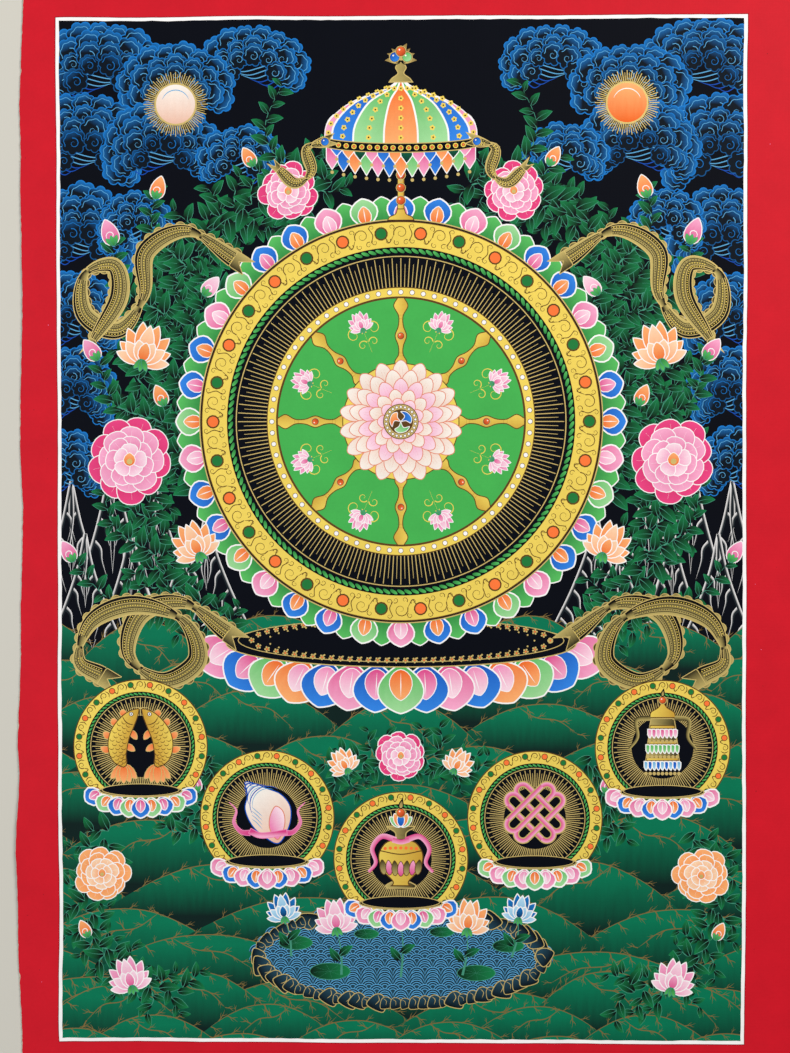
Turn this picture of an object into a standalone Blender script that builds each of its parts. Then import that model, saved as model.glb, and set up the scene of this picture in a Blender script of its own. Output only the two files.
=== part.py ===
"""A painted cotton canvas of the thangka kind, not yet mounted in brocade, lying face up.

It is one piece of stiff, sized and painted cloth, so it is one thin sheet.
Units are metres. X runs across the picture, Y up the picture and Z up.
The origin is under the middle of the sheet, on the surface that the sheet lies on.
"""

import math

import bpy

# The painted picture, to the outer side of its white line.
PICTURE_WIDTH = 0.600
PICTURE_HEIGHT = 0.895

# The painted margin round the picture, to the cut edge of the cloth.
RIGHT_MARGIN = 0.0505
TOP_MARGIN = 0.0420
BOTTOM_MARGIN = 0.0430

# Cotton, its chalk and glue ground, and the paint, together.
THICKNESS = 0.0012

# The left edge was cut by hand. Read up the picture, from its middle.
LEFT_EDGE = (
    # height, margin
    (-0.490, 0.0335),
    (-0.431, 0.0331),
    (-0.409, 0.0348),
    (-0.363, 0.0366),
    (-0.318, 0.0363),
    (-0.295, 0.0374),
    (-0.272, 0.0383),
    (-0.227, 0.0348),
    (-0.204, 0.0345),
    (-0.182, 0.0366),
    (-0.159, 0.0353),
    (-0.114, 0.0331),
    (-0.068, 0.0331),
    (-0.023, 0.0316),
    (0.023, 0.0308),
    (0.068, 0.0331),
    (0.113, 0.0330),
    (0.159, 0.0313),
    (0.204, 0.0304),
    (0.295, 0.0322),
    (0.340, 0.0316),
    (0.363, 0.0331),
    (0.408, 0.0313),
    (0.454, 0.0295),
    (0.490, 0.0292),
)
WIDEST_LEFT_MARGIN = max(margin for _, margin in LEFT_EDGE)

# The other three edges wander by this much, over a wave of this length.
CUT_WANDER = 0.0009
CUT_WAVE = 0.31

# Where the stiff cloth stands off the surface, from the picture's middle. Its corners lie flat.
LIFTS = (
    # x, y, reach_x, reach_y, height
    (-0.336, -0.270, 0.055, 0.120, 0.0016),
    (-0.332, 0.215, 0.045, 0.130, 0.0012),
    (0.351, -0.330, 0.110, 0.120, 0.0024),
    (0.351, 0.120, 0.050, 0.170, 0.0014),
    (-0.090, 0.490, 0.150, 0.040, 0.0010),
    (0.060, -0.490, 0.170, 0.045, 0.0012),
    (-0.170, 0.265, 0.110, 0.070, 0.0006),
    (0.180, -0.210, 0.095, 0.085, 0.0006),
)

# The sheet's grid, fine enough for the wandering edge and the lifts.
COLUMNS = 26
ROWS = 42

# The whole cloth's box has its middle at the origin. The picture lies off that middle.
PICTURE_MIDDLE_X = (WIDEST_LEFT_MARGIN - RIGHT_MARGIN) / 2
PICTURE_MIDDLE_Y = (BOTTOM_MARGIN - TOP_MARGIN) / 2

COTTON_RED = (0.56, 0.012, 0.026, 1.0)


def left_margin(height):
    """The left margin's width at a height on the picture, between the table's rows."""
    for (low, low_margin), (high, high_margin) in zip(LEFT_EDGE, LEFT_EDGE[1:]):
        if height <= high:
            share = max(0.0, (height - low) / (high - low))
            return low_margin + share * (high_margin - low_margin)
    return LEFT_EDGE[-1][1]


def wander(along):
    """How far a straight cut edge lies inside its line: never negative, and 0 at its fullest."""
    wave = math.cos(2 * math.pi * along / CUT_WAVE)
    slow_wave = math.cos(math.pi * along / CUT_WAVE)
    return CUT_WANDER * (1 - 0.5 * (wave + slow_wave))


def lift(x, y):
    """How far the cloth stands off the surface at a point on the picture."""
    height = 0.0
    for middle_x, middle_y, reach_x, reach_y, peak in LIFTS:
        away = math.hypot((x - middle_x) / reach_x, (y - middle_y) / reach_y)
        if away < 1:
            height += peak * math.cos(0.5 * math.pi * away) ** 2
    return height


def place(across, up):
    """The point of the cloth's underside at shares 0 to 1 across it and up it, from the picture's middle."""
    half_width = PICTURE_WIDTH / 2
    half_height = PICTURE_HEIGHT / 2
    plain_x = -half_width + across * PICTURE_WIDTH
    top = half_height + TOP_MARGIN - wander(plain_x)
    bottom = -half_height - BOTTOM_MARGIN + wander(plain_x)
    y = bottom + up * (top - bottom)
    left = -half_width - left_margin(y)
    right = half_width + RIGHT_MARGIN - wander(y)
    x = left + across * (right - left)
    return x, y, lift(x, y)


def canvas_material():
    """Red mineral paint on cotton: what most of the margin shows."""
    material = bpy.data.materials.new("red_painted_cotton")
    material.use_nodes = True
    shader = material.node_tree.nodes["Principled BSDF"]
    shader.inputs["Base Color"].default_value = COTTON_RED
    shader.inputs["Roughness"].default_value = 0.62
    shader.inputs["Metallic"].default_value = 0.0
    return material


def make_canvas(collection):
    """One sheet: a grid laid to the cut outline and the lifts, then given its thickness upwards."""
    bpy.ops.mesh.primitive_grid_add(x_subdivisions=COLUMNS, y_subdivisions=ROWS, size=1.0)
    canvas = bpy.context.object
    canvas.name = "canvas"
    for vertex in canvas.data.vertices:
        x, y, z = place(vertex.co.x + 0.5, vertex.co.y + 0.5)
        vertex.co = (x + PICTURE_MIDDLE_X, y + PICTURE_MIDDLE_Y, z)
    canvas.data.materials.append(canvas_material())
    canvas.data.shade_smooth()

    thicken = canvas.modifiers.new("thickness", "SOLIDIFY")
    thicken.thickness = THICKNESS
    thicken.offset = 1.0

    for other in list(canvas.users_collection):
        other.objects.unlink(canvas)
    collection.objects.link(canvas)
    return canvas


def main():
    for old in list(bpy.data.objects):
        bpy.data.objects.remove(old)
    collection = bpy.data.collections.new("thangka_canvas")
    bpy.context.scene.collection.children.link(collection)
    make_canvas(collection)


main()
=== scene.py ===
# %% [markdown]
# # A painted canvas of the thangka kind
# The real thing is one piece of cotton. It is sized with chalk and glue, polished, and painted with
# mineral colours in glue. Later it is sewn into a brocade mounting, but here it still lies flat.
# A thangka painter draws the whole picture in outline and then lays one colour after another, each
# wherever the picture needs it. This lesson works in the same order: first the cloth, then a flat
# drawing made of closed outlines, and then one thin film of paint for each pigment.

# %% Load the frame
import cmath
import math
import random
from collections import namedtuple

import bmesh
import bpy
import numpy as np
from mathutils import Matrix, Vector, noise
from mathutils.bvhtree import BVHTree
from mathutils.geometry import delaunay_2d_cdt


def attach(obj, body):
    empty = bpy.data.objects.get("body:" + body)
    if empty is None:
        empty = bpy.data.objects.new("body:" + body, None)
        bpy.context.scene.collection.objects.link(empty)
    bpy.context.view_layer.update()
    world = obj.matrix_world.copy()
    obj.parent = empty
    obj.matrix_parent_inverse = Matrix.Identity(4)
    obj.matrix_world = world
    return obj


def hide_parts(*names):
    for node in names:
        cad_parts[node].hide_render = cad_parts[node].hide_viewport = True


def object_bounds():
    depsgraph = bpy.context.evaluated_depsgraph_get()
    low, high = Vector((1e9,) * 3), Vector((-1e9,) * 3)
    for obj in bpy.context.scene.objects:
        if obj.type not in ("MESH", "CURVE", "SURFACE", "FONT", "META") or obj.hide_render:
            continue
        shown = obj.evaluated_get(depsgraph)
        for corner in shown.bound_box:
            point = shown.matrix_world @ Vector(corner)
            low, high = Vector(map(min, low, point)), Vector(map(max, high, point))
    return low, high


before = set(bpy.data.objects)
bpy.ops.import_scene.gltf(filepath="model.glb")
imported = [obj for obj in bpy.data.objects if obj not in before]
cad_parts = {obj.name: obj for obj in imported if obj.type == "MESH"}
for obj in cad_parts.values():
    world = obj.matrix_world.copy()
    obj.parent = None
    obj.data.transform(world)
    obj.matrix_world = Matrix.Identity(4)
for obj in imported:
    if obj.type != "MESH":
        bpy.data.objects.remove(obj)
cad_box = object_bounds()
cad_low, cad_high = (np.array(corner) for corner in cad_box)
MM = 0.001
print("cloth:", [round(float(size) / MM, 1) for size in cad_high - cad_low], "mm")

# %% [markdown]
# ## Sizes
# Everything is worked out from a few real sizes. The drawing is made in millimetres from the middle
# of the picture, because that is how a painter rules a canvas, and it becomes metres at the end.

# %% Sizes in millimetres
PICTURE_WIDTH = 600.0
PICTURE_HEIGHT = 895.0
RIGHT_MARGIN = 50.5
BOTTOM_MARGIN = 43.0
WHITE_LINE = 3.0
COTTON = 1.05
PAINT_FILM = 0.12
MESH_GAP = 11.0  # between the loose points that let cloth and paint follow the lift

HALF_WIDTH = PICTURE_WIDTH / 2
HALF_HEIGHT = PICTURE_HEIGHT / 2
middle = np.array([
    cad_high[0] / MM - RIGHT_MARGIN - HALF_WIDTH,
    cad_low[1] / MM + BOTTOM_MARGIN + HALF_HEIGHT,
])
print("the picture's middle, from the cloth's:", middle.round(2), "mm")

# %% [markdown]
# ## One helper for every node
# Shaders and Geometry Nodes trees are both made of nodes. One small function adds a node, gives it
# its settings, and fills its inputs with a value or a link. A node stands for its first output.

# %% Add a node
def add(tree, kind, inputs=None, **settings):
    """A new node. inputs maps a socket's name or number to a value, a socket or a node."""
    node = tree.nodes.new(kind)
    for name, value in settings.items():
        setattr(node, name, value)
    for key, value in (inputs or {}).items():
        socket = node.inputs[key]
        if isinstance(value, bpy.types.Node):
            value = value.outputs[0]
        if isinstance(value, bpy.types.NodeSocket):
            tree.links.new(value, socket)
        else:
            socket.default_value = value
    return node


def linear(hex_colour):
    """A colour picked as sRGB hex, as the linear RGBA that a shader works with."""
    channels = [int(hex_colour[at:at + 2], 16) / 255 for at in (1, 3, 5)]
    return [c / 12.92 if c <= 0.04045 else ((c + 0.055) / 1.055) ** 2.4 for c in channels] + [1.0]


# %% [markdown]
# ## The cloth's surface
# The cloth isn't quite flat: its edges and a few stretches stand off the surface by a millimetre or
# two. The paint has to follow that. The height is read from the frame's own mesh with ray casts on a
# coarse grid. A little blurring then rounds the facets, and between the grid's points it is blended.

# %% Read the cloth's height
canvas_node = bpy.data.objects["canvas"]
shell = bmesh.new()
shell.from_mesh(canvas_node.data)
bmesh.ops.remove_doubles(shell, verts=shell.verts, dist=1e-6)
shell.verts.index_update()
shell.verts.ensure_lookup_table()
shell_tree = BVHTree.FromBMesh(shell)

PITCH = 10.0  # between the grid's points
INSIDE = 3.0  # how far inside the cloth's box the outermost rays go up
low = cad_low[:2] / MM - 2 * PITCH
counts = np.ceil((cad_high[:2] / MM + 2 * PITCH - low) / PITCH).astype(int) + 1


def lowest_face(x, y):
    """The underside's height at a place in millimetres, or None beside the cloth."""
    hit = shell_tree.ray_cast(Vector((x * MM, y * MM, -1.0)), Vector((0, 0, 1)))[0]
    return None if hit is None else hit.z / MM


heights = np.zeros(counts)
for column in range(counts[0]):
    for row in range(counts[1]):
        place = low + PITCH * np.array([column, row])
        place = np.clip(place, cad_low[:2] / MM + INSIDE, cad_high[:2] / MM - INSIDE)
        heights[column, row] = lowest_face(*place) or 0.0
for _ in range(2):
    for axis in (0, 1):
        heights = (np.roll(heights, 1, axis) + 2 * heights + np.roll(heights, -1, axis)) / 4
print("the cloth stands off by up to", round(float(heights.max()), 2), "mm")


def lift(x, y):
    """How far the cloth's underside stands off the surface, for arrays of millimetres."""
    across = np.clip((np.asarray(x) - low[0]) / PITCH, 0, counts[0] - 1.001)
    up = np.clip((np.asarray(y) - low[1]) / PITCH, 0, counts[1] - 1.001)
    column, row = across.astype(int), up.astype(int)
    across, up = across - column, up - row
    left = heights[column, row] * (1 - up) + heights[column, row + 1] * up
    right = heights[column + 1, row] * (1 - up) + heights[column + 1, row + 1] * up
    return left * (1 - across) + right * across


# %% [markdown]
# ## The cloth's outline
# The frame's outline has a point every couple of centimetres. A knife leaves a finer unevenness
# too, so the outline is read from the walls of the frame's mesh and given one more small wave,
# drawn 0.2 mm further in so that it seldom leaves the frame's box.

# %% Trace the cut edge
def cut_edge():
    """The cloth's outline as complex millimetres from the cloth's middle, anticlockwise."""
    walls = [face for face in shell.faces if abs(face.normal.z) < 0.5]
    under = {}
    for face in walls:
        for edge in face.edges:
            others = [other for other in edge.link_faces if other.normal.z < -0.5]
            if others:
                ends = [vertex.index for vertex in edge.verts]
                under.setdefault(ends[0], []).append(ends[1])
                under.setdefault(ends[1], []).append(ends[0])
    loop, before = [next(iter(under))], None
    while len(loop) <= len(under):
        ahead = [v for v in under[loop[-1]] if v != before]
        before = loop[-1]
        if ahead[0] == loop[0]:
            break
        loop.append(ahead[0])
    return np.array([complex(shell.verts[v].co.x, shell.verts[v].co.y) / MM for v in loop])


def area_of(outline):
    """The signed area: more than 0 for an outline that runs anticlockwise."""
    return 0.5 * float(np.imag(np.conj(outline) * np.roll(outline, -1)).sum())


def spread(outline, gap, closed=True):
    """The same line with a point about every gap millimetres."""
    points = np.append(outline, outline[0]) if closed else np.asarray(outline)
    travelled = np.append(0, np.cumsum(abs(np.diff(points))))
    count = max(2, round(travelled[-1] / gap))
    stops = np.linspace(0, travelled[-1], count + 1)
    if closed:
        stops = stops[:-1]
    return np.interp(stops, travelled, points.real) + 1j * np.interp(stops, travelled, points.imag)


def unevenness(points, size, reach, seed=0.0):
    """A smooth random number from -reach to reach at each point, alike within about size."""
    places = [Vector((z.real / size, z.imag / size, seed)) for z in points]
    return reach * np.array([noise.noise(place) for place in places])


edge_line = cut_edge()
if area_of(edge_line) < 0:
    edge_line = edge_line[::-1]
edge_line = spread(edge_line, gap=2.0)
outward = -1j * (np.roll(edge_line, -1) - np.roll(edge_line, 1))
outward /= abs(outward)
edge_line = edge_line + outward * (unevenness(edge_line, size=6.0, reach=0.35) - 0.2)
print("cut edge:", len(edge_line), "points,", round(abs(np.diff(edge_line)).sum()), "mm long")

# %% [markdown]
# ## A drawing made of closed outlines
# A point of the drawing is one complex number, x + yi, in millimetres. Multiplying such a number
# turns and scales it, and adding moves it, so a motif can be placed with one short sum.
# A shape is a closed outline, the paint that fills it, and two points between which the painter lets
# the colour fade: from its root to its tip. The picture is a plain list of shapes, and a later shape
# covers an earlier one, as on the easel.

# %% Shapes and motifs
Shape = namedtuple("Shape", "paint outline root tip")
picture = []


def turned(degrees):
    """The number that turns another one when multiplied with it."""
    return cmath.exp(1j * math.radians(degrees))


FAR_OFF = 1e6j


def even(share):
    """A root and a tip so far off that the whole shape gets one colour, at a share of the fade."""
    return -share * FAR_OFF, (1 - share) * FAR_OFF


def shape(paint, outline, root=0, tip=FAR_OFF):
    """One shape. Its outline is made to run anticlockwise. A far tip leaves the colour even."""
    outline = np.asarray(outline, complex)
    if area_of(outline) < 0:
        outline = outline[::-1]
    return Shape(paint, outline, complex(root), complex(tip))


def placed(motif, at=0, turn=0.0, size=1.0, mirror=False):
    """The motif's shapes, scaled, turned by degrees and moved to a point."""
    def move(z):
        return at + size * turned(turn) * (-np.conj(z) if mirror else z)
    return [shape(s.paint, move(s.outline), move(s.root), move(s.tip)) for s in motif]


def both_sides(motif):
    """The motif and its mirror image across the picture's middle line."""
    return motif + placed(motif, mirror=True)


# %% [markdown]
# ## Outlines
# Round things are arcs. A petal, a leaf and a flame are all one blade: two sides that leave a root,
# are widest at the belly, and meet at a tip. A line is a brush stroke with a width that swells and
# thins. An inset outline gives the even rim that a painter leaves round a shape.

# %% Outline helpers
def arc(centre, radius, start, end, gap=1.4):
    """Points along an arc between two angles in degrees."""
    steps = max(3, math.ceil(abs(math.radians(end - start)) * radius / gap))
    return centre + radius * np.exp(1j * np.radians(np.linspace(start, end, steps + 1)))


def circle(centre, radius, gap=1.8):
    """A round outline with a point about every gap."""
    sides = max(8, round(math.tau * radius / gap))
    return centre + radius * np.exp(2j * math.pi * np.arange(sides) / sides)


def blade(length, width, belly=0.42, point=0.9, steps=8):
    """An outline from 0 up to a tip at length. A higher point draws the tip out more."""
    t = (1 - np.cos(np.linspace(0, math.pi, steps + 1))) / 2
    half = t ** (point * belly / (1 - belly)) * (1 - t) ** point
    half *= 0.5 * width / half.max()
    right = half + 1j * length * t
    left = -half + 1j * length * t
    return np.concatenate([right[:-1], left[:0:-1]])


def bent(outline, bend):
    """The outline with its upright axis bent to the right, by bend degrees for each unit up."""
    if not bend:
        return outline
    k = math.radians(bend)
    heading = np.exp(-1j * k * outline.imag)
    return (1 - heading) / k + outline.real * heading


def smooth(*corners, steps=6):
    """A smooth path through a few given points."""
    c = np.asarray(corners, complex)
    c = np.concatenate([[2 * c[0] - c[1]], c, [2 * c[-1] - c[-2]]])
    t = np.arange(steps)[:, None] / steps
    a, b, d, e = c[:-3], c[1:-2], c[2:-1], c[3:]
    path = b + 0.5 * t * (d - a + t * (2 * a - 5 * b + 4 * d - e + t * (3 * (b - d) + e - a)))
    return np.append(path.T.ravel(), c[-2])


def closed(*corners):
    """A smooth closed outline through a few given points."""
    steps = 5
    return smooth(corners[-1], *corners, *corners[:2], steps=steps)[steps:-steps - 1]


def mirrored(half):
    """A closed outline from its right half, drawn from the bottom up."""
    half = np.asarray(half, complex)
    return np.concatenate([half, -np.conj(half[::-1])])


def swell(count):
    """The width along a stroke, as a share: thin where the brush lands and lifts."""
    return 0.15 + 0.85 * np.sin(np.linspace(0, math.pi, count)) ** 0.6


def thinning(count, end=0.12):
    """The width along a stroke, as a share, from full to thin."""
    return np.linspace(1, end, count)


def stroke(path, width, profile=swell):
    """A brush stroke's outline along a path. profile is None for an even line."""
    path = np.asarray(path, complex)
    heading = np.gradient(path)
    heading /= np.maximum(abs(heading), 1e-9)
    half = 0.5 * width * (1 if profile is None else profile(len(path)))
    side = 1j * heading * half
    return np.concatenate([path - side, (path + side)[::-1]])


def across(outline):
    """At each point of a closed outline, the step that moves both of its edges inwards by 1."""
    before = outline - np.roll(outline, 1)
    after = np.roll(outline, -1) - outline
    heading = before / np.maximum(abs(before), 1e-9) + after / np.maximum(abs(after), 1e-9)
    heading /= 2
    return 1j * heading / np.maximum(abs(heading) ** 2, 0.3)


def inset(outline, gap):
    """The outline drawn again inside itself. Points that would come too near to it are left out."""
    moved = outline + gap * across(outline)
    edge = np.roll(outline, -1) - outline
    offset = moved[:, None] - outline
    share = np.clip((offset * np.conj(edge)).real / np.maximum(abs(edge) ** 2, 1e-9), 0, 1)
    away = abs(offset - share * edge).min(axis=1)
    return moved[away > 0.85 * abs(gap)]


def rimmed(paint, line, outline, width, root=0, tip=FAR_OFF):
    """A shape with an even painted rim: the whole in the rim's paint, and the inset in its own."""
    whole = shape(line, outline)
    inner = inset(whole.outline, width)
    return [whole, shape(paint, inner, root, tip)] if len(inner) > 3 else [whole]


def band(paint, path, width, fade=1.0):
    """A strip that fades from its left edge to a share of its width, in lengths along the path."""
    path = np.asarray(path, complex)
    width = np.broadcast_to(width, path.shape)
    heading = np.gradient(path)
    side = 0.5j * width * heading / np.maximum(abs(heading), 1e-9)
    left, right = path + side, path - side
    lengths = zip(left, left[1:], right, right[1:])
    return [
        shape(paint, [r0, r1, l1, l0], (l0 + l1) / 2, (l0 + l1 + fade * (r0 + r1 - l0 - l1)) / 2)
        for l0, l1, r0, r1 in lengths
    ]


def round_ring(paint, line, centre, inner, outer, rim=0.8):
    """A flat ring with a thin line at both edges. What is inside it is laid over it later."""
    return [
        shape(line, circle(centre, outer)),
        shape(paint, circle(centre, outer - rim)),
        shape(line, circle(centre, inner + rim)),
    ]


def dot(paint, at, radius):
    """A round touch of the brush, plain enough to be made hundreds of times."""
    sides = 8 if radius < 1.4 else 12
    return shape(paint, at + radius * np.exp(2j * math.pi * np.arange(sides) / sides))


# %% [markdown]
# ## Motifs that repeat
# A lotus has dozens of petals, a vine hundreds of leaves. Copying them is work for Geometry Nodes.
# A motif becomes a flat mesh with one face for each shape. The face keeps its paint as an attribute,
# and a UV map, the brush map, keeps where each corner lies between the shape's root and its tip.
# A tree then instances that mesh round a ring or along paths, and the faces are read back as shapes.
# The order of the faces is the order of painting, so each copy overlaps the one before it.

# %% Motifs as meshes, and meshes as motifs
paint_names = []


def in_scene(name, data):
    """An object in the scene for a mesh, a lamp or a camera."""
    thing = bpy.data.objects.new(name, data)
    bpy.context.scene.collection.objects.link(thing)
    return thing


def new_object(name, points, edges=(), faces=()):
    """A mesh object in the scene."""
    mesh = bpy.data.meshes.new(name)
    mesh.from_pydata(points, edges, faces)
    return in_scene(name, mesh)


def set_map(mesh, name, places):
    """Adds a UV map from one complex number for each corner."""
    flat = np.stack([places.real, places.imag], axis=1).astype(np.float32).ravel()
    mesh.uv_layers.new(name=name).uv.foreach_set("vector", flat)


def read(items, name, each=1, kind=np.float32):
    """One property of many items, as an array with so many numbers for each."""
    values = np.empty(len(items) * each, kind)
    items.foreach_get(name, values)
    return values if kind is np.int32 else values.astype(float)


def motif_mesh(motif):
    """A scratch object whose faces are the motif's shapes, one unit to the millimetre."""
    points, faces, brush, paints = [], [], [], []
    for s in motif:
        faces.append(range(len(points), len(points) + len(s.outline)))
        points += [(z.real, z.imag, 0.0) for z in s.outline]
        brush.append((s.outline - s.root) / (s.tip - s.root))
        if s.paint not in paint_names:
            paint_names.append(s.paint)
        paints.append(paint_names.index(s.paint))
    thing = new_object("motif", points, faces=faces)
    thing.data.attributes.new("paint", "INT", "FACE").data.foreach_set("value", paints)
    set_map(thing.data, "brush", np.concatenate(brush))
    return thing


def motif_paths(paths):
    """A scratch object whose edges are the paths, one unit to the millimetre."""
    points, edges = [], []
    for path in paths:
        edges += [(k, k + 1) for k in range(len(points), len(points) + len(path) - 1)]
        points += [(z.real, z.imag, 0.0) for z in path]
    return new_object("paths", points, edges)


def shapes_of(mesh):
    """The faces of a tree's mesh, read back as shapes. The mesh has then done its work."""
    place = read(mesh.vertices, "co", 3)
    place = place[0::3] + 1j * place[1::3]
    corner = read(mesh.loops, "vertex_index", kind=np.int32)
    brush = read(mesh.uv_layers["brush"].uv, "vector", 2)
    brush = brush[0::2] + 1j * brush[1::2]
    paints = read(mesh.attributes["paint"].data, "value", kind=np.int32)
    shapes = []
    for face, paint in zip(mesh.polygons, paints):
        run = slice(face.loop_start, face.loop_start + face.loop_total)
        outline, at = place[corner[run]], brush[run]
        far = int(np.argmax(abs(at - at[0])))
        step = (outline[far] - outline[0]) / (at[far] - at[0])
        root = outline[0] - at[0] * step
        shapes.append(shape(paint_names[paint], outline, root, root + step))
    bpy.data.meshes.remove(mesh)
    return shapes


def run_tree(tree, carrier, **inputs):
    """Runs a Geometry Nodes tree on an object and returns the plain mesh that it makes.

    The carrier and the motifs are made for one run each, so they are removed after it.
    """
    modifier = carrier.modifiers.new("tree", "NODES")
    modifier.node_group = tree
    for item in tree.interface.items_tree:
        if item.item_type == "SOCKET" and item.in_out == "INPUT" and item.name in inputs:
            modifier[item.identifier] = inputs[item.name]
    graph = bpy.context.evaluated_depsgraph_get()
    mesh = bpy.data.meshes.new_from_object(carrier.evaluated_get(graph), depsgraph=graph)
    carrier.modifiers.remove(modifier)
    for thing in (carrier, *inputs.values()):
        if isinstance(thing, bpy.types.Object):
            bpy.data.meshes.remove(thing.data)
    return mesh


# %% What the trees share
def new_tree(name, **sockets):
    """An empty Geometry Nodes tree with named inputs. Returns it with its input and output nodes."""
    tree = bpy.data.node_groups.new(name, "GeometryNodeTree")
    tree.interface.new_socket("Geometry", in_out="INPUT", socket_type="NodeSocketGeometry")
    tree.interface.new_socket("Geometry", in_out="OUTPUT", socket_type="NodeSocketGeometry")
    for socket, kind in sockets.items():
        tree.interface.new_socket(socket, in_out="INPUT", socket_type="NodeSocket" + kind)
    return tree, tree.nodes.new("NodeGroupInput").outputs, tree.nodes.new("NodeGroupOutput").inputs


def motif_in(tree, source):
    """The geometry of an object that the tree is given, as one instance."""
    return add(tree, "GeometryNodeObjectInfo", {"Object": source, "As Instance": True}).outputs["Geometry"]


def points_along(tree, given):
    """Points every Gap along the carrier's edges, and the angle of the path at each."""
    curve = add(tree, "GeometryNodeMeshToCurve", {"Mesh": given["Geometry"]})
    points = add(tree, "GeometryNodeResampleCurve", {"Curve": curve, "Length": given["Gap"]}, mode="LENGTH")
    tangent = add(tree, "GeometryNodeInputTangent")
    parts = add(tree, "ShaderNodeSeparateXYZ", {0: tangent}).outputs
    return points, add(tree, "ShaderNodeMath", {0: parts["Y"], 1: parts["X"]}, operation="ARCTAN2")


def lay_copies(tree, given, out, turn, inputs):
    """The end of each tree: copies turned by an angle, made real, in the material Finish."""
    rotation = add(tree, "ShaderNodeCombineXYZ", {"Z": turn})
    copies = add(tree, "GeometryNodeInstanceOnPoints", {"Rotation": rotation, **inputs})
    real = add(tree, "GeometryNodeRealizeInstances", {"Geometry": copies})
    finish = add(tree, "GeometryNodeSetMaterial", {"Geometry": real, "Material": given["Finish"]})
    tree.links.new(finish.outputs[0], out["Geometry"])
    return tree


# %% A tree that lays a motif round a ring
def make_ring_tree():
    """Copies of Motif on a ring of Count places, its up pointing outwards. Start is an angle."""
    tree, given, out = new_tree(
        "around_a_ring", Motif="Object", Count="Int", Radius="Float", Start="Float", Finish="Material"
    )
    index = add(tree, "GeometryNodeInputIndex")
    share = add(tree, "ShaderNodeMath", {0: index, 1: given["Count"]}, operation="DIVIDE")
    around = add(tree, "ShaderNodeMath", {0: share, 1: math.tau, 2: given["Start"]},
                 operation="MULTIPLY_ADD")
    across = add(tree, "ShaderNodeMath", {0: around}, operation="COSINE")
    upward = add(tree, "ShaderNodeMath", {0: around}, operation="SINE")
    heading = add(tree, "ShaderNodeCombineXYZ", {"X": across, "Y": upward})
    place = add(tree, "ShaderNodeVectorMath", {0: heading, "Scale": given["Radius"]}, operation="SCALE")
    points = add(tree, "GeometryNodePoints", {"Count": given["Count"], "Position": place})
    turn = add(tree, "ShaderNodeMath", {0: around, 1: math.pi / 2}, operation="SUBTRACT")
    return lay_copies(tree, given, out, turn,
                      {"Points": points, "Instance": motif_in(tree, given["Motif"])})


RING_TREE = make_ring_tree()
PENCIL = bpy.data.materials.new("pencil")  # what the motifs wear while they are only drawn


def around(centre, motif, count, radius, start=90.0):
    """A motif laid round a ring by the tree."""
    mesh = run_tree(RING_TREE, motif_paths([]), Motif=motif_mesh(motif), Count=count,
                    Radius=float(radius), Start=math.radians(start), Finish=PENCIL)
    return placed(shapes_of(mesh), centre)


# %% A tree that lays a motif along paths
def make_path_tree():
    """Copies of Motif every Gap along the carrier's edges, turned to the path and then by Lean.

    Every second copy is of Mirrored and leans the other way. Taper shrinks the copies towards a
    path's end, and Variety changes their size and lean at random.
    """
    tree, given, out = new_tree(
        "along_paths", Motif="Object", Mirrored="Object", Gap="Float", Lean="Float", Taper="Float",
        Variety="Float", Seed="Int", Finish="Material"
    )
    motifs = add(tree, "GeometryNodeGeometryToInstance")
    for name in ("Mirrored", "Motif"):
        tree.links.new(motif_in(tree, given[name]), motifs.inputs[0])
    points, heading = points_along(tree, given)
    index = add(tree, "GeometryNodeInputIndex")
    odd = add(tree, "ShaderNodeMath", {0: index, 1: 2.0}, operation="MODULO")
    side = add(tree, "ShaderNodeMath", {0: odd, 1: -2.0, 2: 1.0}, operation="MULTIPLY_ADD")
    chance = add(tree, "FunctionNodeRandomValue",
                 {2: -1.0, 3: 1.0, "ID": index, "Seed": given["Seed"]}, data_type="FLOAT").outputs[1]
    sway = add(tree, "ShaderNodeMath", {0: chance, 1: given["Variety"]}, operation="MULTIPLY")
    lean = add(tree, "ShaderNodeMath", {0: given["Lean"], 1: side}, operation="MULTIPLY")
    leaning = add(tree, "ShaderNodeMath", {0: lean, 1: sway}, operation="ADD")
    angle = add(tree, "ShaderNodeMath", {0: heading, 1: math.pi / 2}, operation="SUBTRACT")
    turn = add(tree, "ShaderNodeMath", {0: angle, 1: leaning}, operation="SUBTRACT")
    share = add(tree, "GeometryNodeSplineParameter").outputs["Factor"]
    shrink = add(tree, "ShaderNodeMath", {0: share, 1: given["Taper"]}, operation="MULTIPLY")
    size = add(tree, "ShaderNodeMath", {0: 1.0, 1: shrink}, operation="SUBTRACT")
    varied = add(tree, "ShaderNodeMath", {0: sway, 1: 0.6, 2: 1.0}, operation="MULTIPLY_ADD")
    grown = add(tree, "ShaderNodeMath", {0: size, 1: varied}, operation="MULTIPLY")
    return lay_copies(tree, given, out, turn, {
        "Points": points, "Instance": motifs, "Pick Instance": True, "Instance Index": odd,
        "Scale": grown,
    })


PATH_TREE = make_path_tree()


def along(paths, motif, gap, lean=0.0, taper=0.0, variety=0.0, seed=1, one_side=False):
    """A motif laid along paths by the tree. lean is in degrees from the path's heading."""
    other = motif if one_side else placed(motif, mirror=True)
    return shapes_of(run_tree(
        PATH_TREE, motif_paths(paths), Motif=motif_mesh(motif), Mirrored=motif_mesh(other),
        Gap=float(gap), Lean=math.radians(lean), Taper=float(taper), Variety=float(variety),
        Seed=seed, Finish=PENCIL,
    ))

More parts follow.
